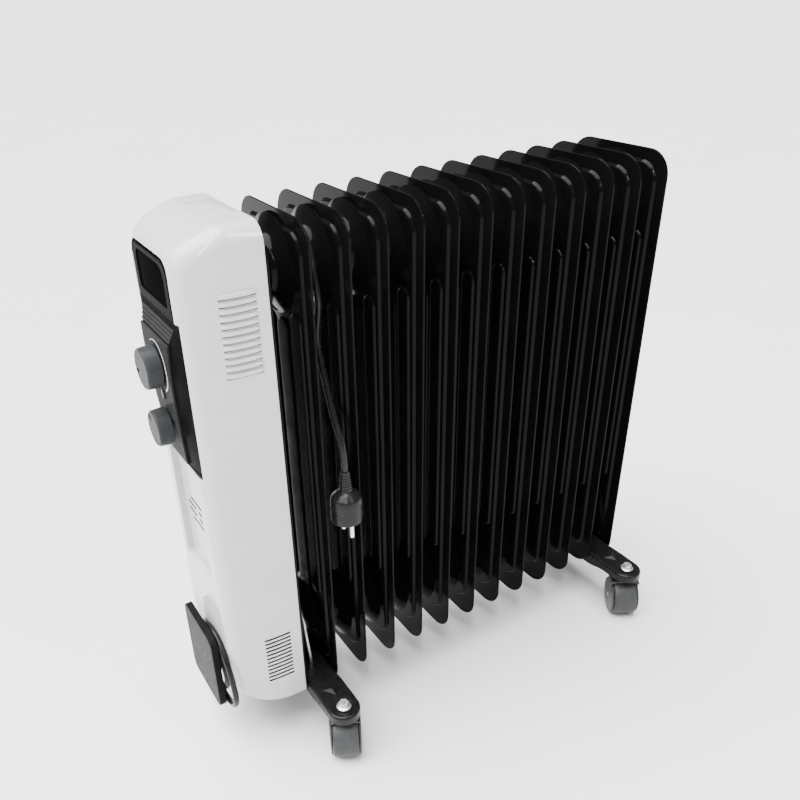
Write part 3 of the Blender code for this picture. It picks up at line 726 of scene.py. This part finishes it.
LOUVRES = (  # the first row's height, the pitch, the slot's height, x from and to, a hood's depth and height
    (0.449, 0.0070, 0.0010, -0.0934, -0.0545, 0.0036, 0.0050),
    (0.054, 0.00573, 0.0026, -0.0900, -0.0555, 0.0011, 0.0028),
)
LOUVRE_ROWS = 12
FRONT_SLOTS = (  # the height of a row, and where its slots start and end
    (0.2770, ((-0.0175, 0.0175),)),
    (0.2680, ((-0.0270, -0.0030), (0.0030, 0.0270))),
    (0.2590, ((-0.0270, -0.0030), (0.0030, 0.0270))),
    (0.2500, ((-0.0175, 0.0175),)),
)

cuts, hoods = bmesh.new(), bmesh.new()
for first, pitch, gap, x0, x1, proud, tall in LOUVRES:
    for row in range(LOUVRE_ROWS):
        z = first + row * pitch
        slot = rounded(x0 + 0.0012, x1 - 0.0012, z - gap / 2, z + gap / 2, gap * 0.499, 5)
        loft([[Vector((x, y, h)) for x, h in slot] for y in (-0.09, 0.09)], cuts)
        for side in (-1, 1):
            rings = []
            for k in range(17):
                s = k / 16
                x = x0 + (x1 - x0) * s
                swell = (1 - abs(2 * s - 1) ** 6) ** 0.5 if 0 < k < 16 else 0.05
                y = side_y(x) - 0.0004
                ring = []
                for q in range(12):
                    a = math.radians(30 * q)
                    bulge = max(0.0, math.cos(a)) ** 0.7 * proud * swell
                    height = z + gap / 2 + tall / 2 + tall / 2 * swell * math.sin(a)
                    ring.append(Vector((x, side * (y + bulge), height)))
                rings.append(ring)
            loft(rings, hoods)
for z, spans in FRONT_SLOTS:
    for y0, y1 in spans:
        slab(rounded(y0, y1, z - 0.0018, z + 0.0018, 0.0017, 4), -0.1230, -0.1150, cuts)
boolean(shell, cuts)
boolean(shell, box(-0.0768, -0.0472, -0.0303, 0.0303, 0.5867, 0.60))  # the seat of the top cover
belongs(weighted(shell), "white_abs", nodes=("housing_shell",))

SKIN_DEPTH = 0.0012  # faces deeper than this are the shell's inner side


def depth_inside(x, y, z):
    """How far a point lies behind the housing's front or inside its outline."""
    spot, deep = Vector((0, y, z)), x - HOUSING_FRONT
    around = [Vector((0, *pair)) for pair in housing_outline(min(max(x, HOUSING_FRONT), HOUSING_REAR))]
    for start, end in zip(around, around[1:] + around[:1]):
        near, t = intersect_point_line(spot, start, end)
        near = start if t < 0 else end if t > 1 else near
        deep = min(deep, (spot - near).length)
    return deep


# The shell's inner faces take the painted shade, so that the slots and openings read dark.
shell.data.materials.append(INSIDE_PAINTED_SHADE)
for face in shell.data.polygons:
    x, y, z = face.center
    in_pocket = abs(y) < POCKET_HALF + 0.0005 and POCKET_LOW < z + 0.0005 < POCKET_HIGH + 0.001
    in_pocket = in_pocket and x < POCKET_X + 0.0007
    if depth_inside(x, y, z) > SKIN_DEPTH and not in_pocket:
        face.material_index = 1
piece("housing_louvre_hoods", hoods, "white_abs", angle=70)

cover = loft([
    [Vector((x, y, z)) for x, y in rounded(-0.0765 + d, -0.0475 - d, -0.030 + d, 0.030 - d, 0.0025, 5)]
    for z, d in ((0.5870, 0.0004), (0.5874, 0.0004), (0.5878, 0.0007), (0.5880, 0.0014))
])
piece("top_cover_plate", cover, "white_abs", nodes=("top_cover",))

# ---------------------------------------------------------------- control panel

PANEL_BACK, PANEL_EDGE, FRAME_EDGE = -0.1185, -0.1248, -0.1256
FASCIA_LOW, FASCIA_TALL, FASCIA_TOP = 0.344, 0.137, 0.481
FASCIA_PROUD = 0.0023  # how far the knob fascia stands out of the panel
BAND_TOP, BAND_X = 0.4985, -0.1262  # where the slope above the fascia ends
SHAFT_HOLE = 0.0042


def face_x(z):
    """The knob fascia's front face, which is bowed."""
    return -0.1350 + 0.0062 * (abs(0.450 - z) / 0.106) ** 1.6


def face_half(z):
    """The knob fascia's half width, which grows upwards."""
    return 0.0245 + 0.0145 * (z - FASCIA_LOW) / FASCIA_TALL


def slope_x(s):
    """The slope above the fascia, at a share s of its way up."""
    return (face_x(FASCIA_TOP) + FASCIA_PROUD) * (1 - s) + BAND_X * s


def slope_half(s, top):
    """The slope's half width there, which grows to top."""
    return face_half(FASCIA_TOP) + (top - face_half(FASCIA_TOP)) * smooth(s)


# Each level of the panel: its half width, its edge's x, its face's half width and x, and its height.
rings = []
levels = [FASCIA_LOW + FASCIA_TALL * k / 24 for k in range(25)]
for z in [PANEL_BOTTOM, *levels[1:]]:
    rings.append((PANEL_WIDE, PANEL_EDGE, face_half(z), face_x(z) + FASCIA_PROUD, z))
for k in range(1, 9):
    s = k / 8
    z = FASCIA_TOP + (BAND_TOP - FASCIA_TOP) * s
    rings.append((PANEL_WIDE, PANEL_EDGE, slope_half(s, 0.0470), slope_x(s), z))
for z, x in ((0.5005, -0.1248), (0.5035, -0.1246), (PANEL_SHOULDER, -0.1246)):
    rings.append((PANEL_WIDE, PANEL_EDGE, 0.0475, x, z))
rings.append((PANEL_NARROW, FRAME_EDGE, 0.0490, -0.1250, PANEL_SHOULDER + 0.0002))
for half, z in arc_points(PANEL_NARROW - PANEL_ROUND, PANEL_TOP - PANEL_ROUND, PANEL_ROUND, 0, 90, 9):
    rings.append((half, FRAME_EDGE, max(half - 0.0015, 0.001), -0.1250, z))
panel = place(
    "control_panel_body",
    loft([
        [
            Vector((x, y, z))
            for y, x in (
                (-side, PANEL_BACK), (-side, edge + 0.0008), (-side + 0.0008, edge), (-half, face),
                (half, face), (side - 0.0008, edge), (side, edge + 0.0008), (side, PANEL_BACK),
            )
        ]
        for side, edge, half, face, z in rings
    ]),
)
shaft_holes = bmesh.new()
for z in (KNOB_Z, SELECTOR_Z):
    rod("X", (0, 0, z), SHAFT_HOLE, -0.15, -0.10, 20, shaft_holes)
boolean(panel, shaft_holes)
boolean(panel, slab(rounded(-0.0390, 0.0390, 0.5150, 0.5555, 0.004, 6, 0.012), -0.14, -0.1240))
belongs(weighted(panel), "dark_plastic", nodes=("control_panel",))


def frame_outline(inset):
    return rounded(-0.0478 + inset, 0.0478 - inset, 0.5065 + inset, 0.5600 - inset, 0.004, 8, 0.0145 - inset)


def pane_outline(inset):
    return rounded(-0.0385 + inset, 0.0385 - inset, 0.5155 + inset, 0.5550 - inset, 0.004, 8, 0.012 - inset)


bezel = place("window_bezel", soft_slab(frame_outline, -0.1272, -0.1248, 0.0008))
boolean(bezel, slab(rounded(-0.0387, 0.0387, 0.5153, 0.5552, 0.004, 8, 0.012), -0.14, -0.12))
belongs(weighted(bezel), "dark_plastic")
window = soft_slab(pane_outline, -0.1262, -0.1242, 0.0005)
piece("display_window_pane", window, "window_black", nodes=("display_window",))

band = bmesh.new()
for k in range(4):  # the bars between the band's grooves
    s0, s1 = 0.10 + 0.22 * k, 0.10 + 0.22 * k + 0.16
    rows = []
    for s, lift in ((s0, 0.0001), (s0 + 0.02, 0.0009), (s1 - 0.02, 0.0009), (s1, 0.0001)):
        z = FASCIA_TOP + 0.0175 * s
        x, half = slope_x(s), slope_half(s, 0.0455)
        rows.append([
            Vector((deep, y, z))
            for deep, y in ((x + 0.001, -half), (x - lift, -half), (x - lift, half), (x + 0.001, half))
        ])
    loft(rows, band)
piece("panel_grooved_band", band, "grey_plastic")

fascia = place(
    "knob_fascia_face",
    loft([
        [
            Vector((x, y, z))
            for y, x in (
                (-face_half(z), face_x(z) + 0.002), (-face_half(z), face_x(z) + 0.0004),
                (-face_half(z) + 0.0004, face_x(z)), (face_half(z) - 0.0004, face_x(z)),
                (face_half(z), face_x(z) + 0.0004), (face_half(z), face_x(z) + 0.002),
            )
        ]
        for z in levels
    ]),
)
holes = bmesh.new()
for z in (KNOB_Z, SELECTOR_Z):
    rod("X", (0, 0, z), SHAFT_HOLE, -0.15, -0.12, 24, holes)


def lamp_outline(grow):
    """A leaf shape, pointed at its upper and lower ends."""
    points = []
    for k in range(32):
        t = 2 * math.pi * k / 32
        y, z = math.cos(t), math.sin(t)
        points.append((0.0048 * y * (1 - 0.25 * abs(z)) + grow * y, LAMP_Z + 0.0064 * z + grow * z))
    return points


slab(lamp_outline(0.0002), -0.15, -0.12, holes)
boolean(fascia, holes)
belongs(weighted(fascia), "grey_plastic", nodes=("knob_fascia",))
piece(
    "indicator_lamp_lens",
    soft_slab(lambda inset: lamp_outline(-inset), -0.1351, -0.1325, 0.0010),
    "lamp_lens",
    nodes=("indicator_lamp",),
)

# The printed scale widens from its start to its end.
ARC_R, ARC_START, ARC_SPAN = 0.0262, 125, 185
rows = []
for k in range(41):
    s = k / 40
    t = math.radians(ARC_START - ARC_SPAN * s)
    wide = 0.0002 + 0.0007 * s
    inner, outer = ((-r * math.cos(t), KNOB_Z + r * math.sin(t)) for r in (ARC_R - wide, ARC_R + wide))
    rows.append([
        Vector((face_x(z) - lift, y, z))
        for lift, (y, z) in ((0.0001, inner), (0.0001, outer), (-0.0002, outer), (-0.0002, inner))
    ])
piece("thermostat_scale_arc", loft(rows), "white_abs", look=PRINT_WHITE)


def pointer_outline(r, inset):
    """The wedge in a knob's face, as (y, z) pairs: its wide end is at the rim."""
    tip, rim, wide = r - 0.0135 + inset, r - 0.0038 - inset, 0.0031 - inset
    return [
        (tip, -0.0005), (rim - 0.0008, -wide), (rim, -wide + 0.0008),
        (rim, wide - 0.0008), (rim - 0.0008, wide), (tip, 0.0005),
    ]


CONTROLS = (  # the knob's height, radius, back and front, and its pointer's angle in degrees
    ("thermostat_control", "thermostat_knob", KNOB_Z, 0.022, -0.1355, -0.1515, -24),
    ("selector_control", "selector_knob", SELECTOR_Z, 0.020, -0.1345, -0.1500, 48),
)
for body, control, z, r, back, front, pointer in CONTROLS:
    turn = Matrix.Translation((0, 0, z)) @ Matrix.Rotation(math.radians(pointer), 4, "X")
    grip = fillet([
        (0.0045, back), (r - 0.0012, back), (r, back - 0.0008), (r - 0.0010, front + 0.0016),
        (r - 0.0022, front), (r - 0.0030, front), (r - 0.0034, front + 0.0006), (0.0045, front + 0.0006),
    ], 0.0006)
    barrel = place(control + "_barrel", revolve(grip, "X", (0, 0, z), 96), origin=(back, 0, z))
    cut = slab(pointer_outline(r, 0), front - 0.002, front + 0.0030)
    bmesh.ops.transform(cut, matrix=turn, verts=cut.verts)
    boolean(barrel, cut.copy())
    belongs(weighted(barrel), "knob_plastic", body, nodes=(control,))
    face_r, low, high = r - 0.0036, front + 0.0002, front + 0.0008
    coin = fillet([(0.0001, high), (face_r, high), (face_r, low), (0.0001, low)], 0.0002)
    disc = place(control + "_face", revolve(coin, "X", (0, 0, z), 96), origin=(back, 0, z))
    boolean(disc, cut)
    belongs(weighted(disc), "knob_plastic", body, look=KNOB_FACE)
    # The notch is filled almost to the face with dark plastic: painted shade, standing for the shadow in the
    # real notch.
    notch_shade_fill = slab(pointer_outline(r, -0.0001), front + 0.0007, front + 0.0033)
    bmesh.ops.transform(notch_shade_fill, matrix=turn, verts=notch_shade_fill.verts)
    piece(control + "_pointer", notch_shade_fill, "dark_plastic", body, origin=(back, 0, z))

# ---------------------------------------------------------------- cord wrap plate


def plate_outline(inset):
    y0, y1 = PLATE_LOW.y + inset, PLATE_HIGH.y - inset
    return rounded(y0, y1, PLATE_LOW.z + inset, PLATE_HIGH.z - inset, 0.012 - inset, 8)


plate = place("cord_wrap_plate_cover", soft_slab(plate_outline, PLATE_LOW.x, PLATE_BACK, 0.0012, 5))
hub = rounded(-0.0200, 0.0200, 0.036, 0.092, 0.0199, 10)
boolean(plate, slab(hub, PLATE_BACK - 0.003, HOUSING_FRONT - GAP), "UNION")
groove = place("groove", slab(plate_outline(0.0045), PLATE_LOW.x - 0.002, PLATE_LOW.x + 0.0004))
boolean(groove, slab(plate_outline(0.0052), PLATE_LOW.x - 0.01, PLATE_LOW.x + 0.01))
boolean(plate, groove)
belongs(weighted(plate), "dark_plastic", nodes=("cord_wrap_plate",), look=PLATE_LOOK)

# ---------------------------------------------------------------- feet

BOLT_Y, U_LEG_Y = 0.129, 0.046
BOLT_HOLE, LEG_HOLE = 0.0042, 0.0030
SHEET, BRACKET_EDGE = 0.002, 0.0035
TAB_R, TAB_Y = 0.020, 0.128  # the bracket's round ends
HOOP_R, U_WIRE_R = 0.0371, 0.0024
LEG_HEIGHTS = (-0.012, 0.006, 0.026)  # points of the U-bolt's straight legs
CASTER_YAW = {"front": -27, "rear": -33}  # degrees, as the casters stand in the photo
TRAIL, WHEEL_R = 0.004, 0.028  # how far the axle stands off the stem, and the wheel's radius


def bracket_outline(inset):
    """The bracket seen from above, as (x, y) pairs: a little narrower between its ends."""
    right = [(half - inset, y) for y, half in (
        (-0.104, TAB_R), (-0.094, 0.0199), (-0.084, 0.0195), (-0.076, 0.0188), (-0.070, 0.0185),
        (0.070, 0.0185), (0.076, 0.0188), (0.084, 0.0195), (0.094, 0.0199), (0.104, TAB_R), (TAB_Y, TAB_R),
    )]
    right += arc_points(0, TAB_Y, TAB_R - inset, 0, 180, 9)[1:-1]
    return right + [(-x, -y) for x, y in right]


def bracket_low(y):
    """The bracket's lower edge, which rises towards the ends."""
    return 0.0045 + 0.0075 * smooth((abs(y) - 0.070) / 0.036)


def hexagon(across, z):
    r = across / 2 / math.cos(math.pi / 6)
    return [Vector((x, y, z)) for x, y in arc_points(0, 0, r, 0, 300, 60)]


def hex_head(z, across, height, bm):
    """A hexagonal bolt head that is chamfered and dished on its top."""
    top = z + height
    loft([hexagon(across - less, level) for less, level in (
        (0.0006, z), (0, z + 0.0003), (0, top - 0.0009), (0.0010, top), (0.0030, top), (0.0036, top - 0.0005),
    )], bm)


for tag in ("front", "rear"):
    foot_low, foot_high = span(f"foot_bracket_{tag}")
    foot_x, top_z = (foot_low.x + foot_high.x) / 2, foot_high.z
    rings = [[Vector((foot_x + x, y, bracket_low(y))) for x, y in bracket_outline(0)]]
    for k in range(6):
        t = math.pi / 2 * k / 5
        z = top_z - BRACKET_EDGE + BRACKET_EDGE * math.sin(t)
        outline = bracket_outline(BRACKET_EDGE * (1 - math.cos(t)))
        rings.append([Vector((foot_x + x, y, z)) for x, y in outline])
    bracket = walled(place(f"foot_bracket_{tag}_pressing", cup(rings)), SHEET)
    dishes, drills = bmesh.new(), bmesh.new()
    dish_z, rim_z = top_z - 0.0012, top_z + 0.0006
    dish = [(0.0001, dish_z), (0.0120, dish_z), (0.0155, rim_z), (0.0001, rim_z)]
    for side in (-1, 1):
        bolt_hole, leg_hole = (foot_x, side * BOLT_Y, 0), (foot_x, side * U_LEG_Y, 0)
        revolve(dish, "Z", bolt_hole, 40, dishes)
        rod("Z", bolt_hole, BOLT_HOLE, 0.0, 0.05, 24, drills)
        rod("Z", leg_hole, LEG_HOLE, 0.0, 0.05, 24, drills)
    boolean(bracket, dishes)
    boolean(bracket, drills)
    belongs(weighted(bracket), "foot_paint", nodes=(f"foot_bracket_{tag}",))
    marks = bmesh.new()
    for side in (-1, 1):
        base = [(-0.0110, 0.0945), (0.0110, 0.0945), (0, 0.1105)]
        rows = [
            [Vector((foot_x + x * s, side * (0.1000 + (y - 0.1000) * s), z)) for x, y in base]
            for s, z in ((1.0, top_z - 0.0003), (0.94, top_z + 0.0006), (0.12, top_z + 0.0026))
        ]
        loft(rows, marks)
    piece(f"foot_bracket_{tag}_pips", marks, "foot_paint", angle=20)

    hoop = [(foot_x, -U_LEG_Y, z) for z in LEG_HEIGHTS]
    hoop += [(foot_x, y, z) for y, z in arc_points(0, LOWER_Z, HOOP_R, 180, 0, 12)]
    hoop += [(foot_x, U_LEG_Y, z) for z in reversed(LEG_HEIGHTS)]
    curve_piece(f"u_bolt_{tag}_hoop", hoop, U_WIRE_R, "zinc", (f"u_bolt_{tag}",), sides=5, resolution=4)
    threads = bmesh.new()
    for side in (-1, 1):
        profile = [(0.0021, -0.0119)]
        for k in range(24):
            z = -0.0116 + 0.0010 * k
            profile += [(0.0025, z + 0.0002), (0.0021, z + 0.0007)]
        revolve(profile, "Z", (foot_x, side * U_LEG_Y, 0), 16, threads)
    piece(f"u_bolt_{tag}_threads", threads, "zinc", angle=80)

    for side, letter in ((-1, "a"), (1, "b")):
        tail = f"{tag}_{letter}"
        spot = Vector((foot_x, side * U_LEG_Y, 0))
        cone = [(0.0027, 0.0137), (0.0048, 0.0137), (0.0060, 0.0200), (0.0060, 0.0217), (0.0027, 0.0217)]
        nut = revolve(fillet(cone, 0.0008), "Z", spot, 32, closed=True)
        for way in (-1, 1):  # the nut's two wings
            rows = []
            for k in range(13):
                s = k / 12
                x = foot_x + way * (0.0036 + 0.0094 * s)
                tall = 0.0028 + 0.0016 * math.sin(math.pi * min(1, s * 1.1))
                tall -= 0.0022 * smooth((s - 0.75) / 0.25)
                mid = 0.0172 - 0.0032 * s
                thick = 0.0013 - 0.0005 * smooth((s - 0.8) / 0.2)
                rows.append([
                    Vector((x, spot.y + thick * math.cos(a), mid + tall * math.sin(a)))
                    for a in (math.radians(30 * q) for q in range(12))
                ])
            loft(rows, nut)
        piece(f"wing_nut_{tail}_body", nut, "zinc", nodes=(f"wing_nut_{tail}",), angle=50)

        # ---------------------------------------------------- casters
        # Each is made with its stem on the Z axis and its wheel's axle along X, and then turned by its yaw.
        yaw = math.radians(CASTER_YAW[tag]) * -side
        bolt_spot = middle(f"caster_bolt_{tail}")
        stem = Vector((bolt_spot.x, bolt_spot.y, 0))
        trail = -side * TRAIL
        low = Vector((0, trail, middle(f"caster_axle_{tail}").z))
        body = f"caster_{tail}"
        bolt = revolve(fillet([
            (0.0038, 0.0062), (0.0038, 0.0240), (0.0088, 0.0240), (0.0088, 0.0247), (0.0080, 0.0256),
            (0.0060, 0.0262),
        ], 0.0005), "Z", (0, 0, 0), 40)
        hex_head(0.0256, 0.0100, 0.0054, bolt)
        piece(f"caster_bolt_{tail}_head", moved(bolt, yaw, stem), "zinc", nodes=(f"caster_bolt_{tail}",),
              origin=stem, angle=30)

        yoke = revolve(fillet([
            (0.0043, 0.0217), (0.0078, 0.0217), (0.0085, 0.0208), (0.0083, 0.0062), (0.0088, 0.0050),
            (0.0043, 0.0050),
        ], 0.0006), "Z", (0, 0, 0), 40, closed=True)
        saddle = rounded(-0.0085 + min(0, trail), 0.0085 + max(0, trail), 0.0024, 0.0058, 0.0014, 4)
        fork = []
        for k in range(17):
            s = -1 + k / 8
            x = 0.0190 * math.copysign(abs(s) ** 0.8, s)
            drop = 0.0030 * abs(s) ** 6
            fork.append([Vector((x, y, z - drop)) for y, z in saddle])
        loft(fork, yoke)
        for way in (-1, 1):
            cheek = rounded(trail - 0.0082, trail + 0.0082, low.z, 0.0045, 0.0020, 4)
            slab(cheek, *sorted((way * 0.0163, way * 0.0190)), yoke)
            disc = fillet([(r, way * h) for r, h in (
                (0.0002, 0.0162), (0.0246, 0.0162), (0.0250, 0.0168), (0.0240, 0.0184),
                (0.0135, 0.0190), (0.0066, 0.0190), (0.0060, 0.0186), (0.0002, 0.0186),
            )], 0.0008)
            revolve(disc, "X", low, 64, yoke)
        # The yoke and its side discs take the darker plastic, which is painted shade of the wheel's sides.
        piece(f"caster_yoke_{tail}_fork", moved(yoke, yaw, stem), "dark_plastic", body,
              nodes=(f"caster_yoke_{tail}",), origin=stem, look=CASTER_SIDE_SHADE)
        axle = revolve(fillet([
            (0.0002, -0.0200), (0.0022, -0.0199), (0.0029, -0.0193), (0.0029, 0.0193), (0.0022, 0.0199),
            (0.0002, 0.0200),
        ], 0.0003), "X", low, 24)
        centre = stem + Matrix.Rotation(yaw, 3, "Z") @ low
        piece(f"caster_axle_{tail}_pin", moved(axle, yaw, stem), "bare_steel", body,
              nodes=(f"caster_axle_{tail}",), origin=centre)
        tread = fillet([
            (0.0033, -0.0155), (0.0252, -0.0155), (0.0268, -0.0146), (0.0277, -0.0115),
            (WHEEL_R, -0.0055), (WHEEL_R, -0.0004), (WHEEL_R - 0.0003, 0.0),
            (WHEEL_R, 0.0004), (WHEEL_R, 0.0055),
            (0.0277, 0.0115), (0.0268, 0.0146), (0.0252, 0.0155), (0.0033, 0.0155),
        ], 0.0010, 3)
        wheel = moved(revolve(tread, "X", low, 72, closed=True), yaw, stem)
        piece(f"caster_wheel_{tail}_barrel", wheel, "caster_tread", body + "_wheel",
              nodes=(f"caster_wheel_{tail}",), origin=centre, angle=60)

# ---------------------------------------------------------------- CAD nodes that keep their shape

KEPT = {
    "bare_steel": ("element_flange", "heating_element_low", "heating_element_high", "thermostat_shaft",
                   "selector_shaft", "thermal_cutout"),
    "cream_plastic": ("thermostat_body", "selector_switch", "terminal_block"),
    "dark_plastic": ("tip_over_switch",),
}
for slot, names in KEPT.items():
    for name in names:
        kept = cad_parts[name]
        for index in range(len(kept.material_slots)):
            kept.material_slots[index].material = MATERIALS[slot]

# ---------------------------------------------------------------- floor and light

FLOOR_HALF, WORLD_STRENGTH = 60, 0.25
CEILING_STRENGTH, CEILING_SPREAD = 13.5, 60  # a sun seen as a disc 60 degrees wide, so it gives soft light
floor_mesh = bmesh.new()
bmesh.ops.create_grid(floor_mesh, x_segments=8, y_segments=8, size=FLOOR_HALF)
floor_data = bpy.data.meshes.new("floor")
floor_mesh.to_mesh(floor_data)
floor_mesh.free()
floor = bpy.data.objects.new("floor", floor_data)
floor_data.materials.append(
    finish("floor_paper", (0.76, 0.76, 0.76), (0.78, 0.78, 0.78), 0.7, 0.05, grain=2, bump=0.02, fine=60)
)
bpy.context.scene.collection.objects.link(floor)

world = bpy.data.worlds.new("studio")
bpy.context.scene.world = world
world.use_nodes = True
world.node_tree.nodes["Background"].inputs["Color"].default_value = (1, 1, 1, 1)
world.node_tree.nodes["Background"].inputs["Strength"].default_value = WORLD_STRENGTH

sky = bpy.data.lights.new("ceiling", "SUN")
sky.energy = CEILING_STRENGTH
sky.angle = math.radians(CEILING_SPREAD)
ceiling = bpy.data.objects.new("ceiling", sky)
ceiling.rotation_euler = (math.radians(-8), math.radians(-18), 0)
bpy.context.scene.collection.objects.link(ceiling)


def softbox(name, spot, target, size, power):
    """A rectangular light that faces its target."""
    light = bpy.data.lights.new(name, "AREA")
    light.shape = "RECTANGLE"
    light.size, light.size_y = size
    light.energy = power
    obj = bpy.data.objects.new(name, light)
    obj.location = spot
    obj.rotation_euler = (Vector(target) - Vector(spot)).to_track_quat("-Z", "Y").to_euler()
    bpy.context.scene.collection.objects.link(obj)


softbox("key", (-2.2, 0.4, 1.6), (-0.2, 0, 0.35), (1.0, 1.4), 24)
softbox("tube_left", (-0.9, -1.3, 2.2), (0, 0, 0.5), (0.03, 1.6), 28)
softbox("tube_right", (0.6, -1.5, 2.3), (0.1, 0, 0.5), (0.03, 1.6), 28)
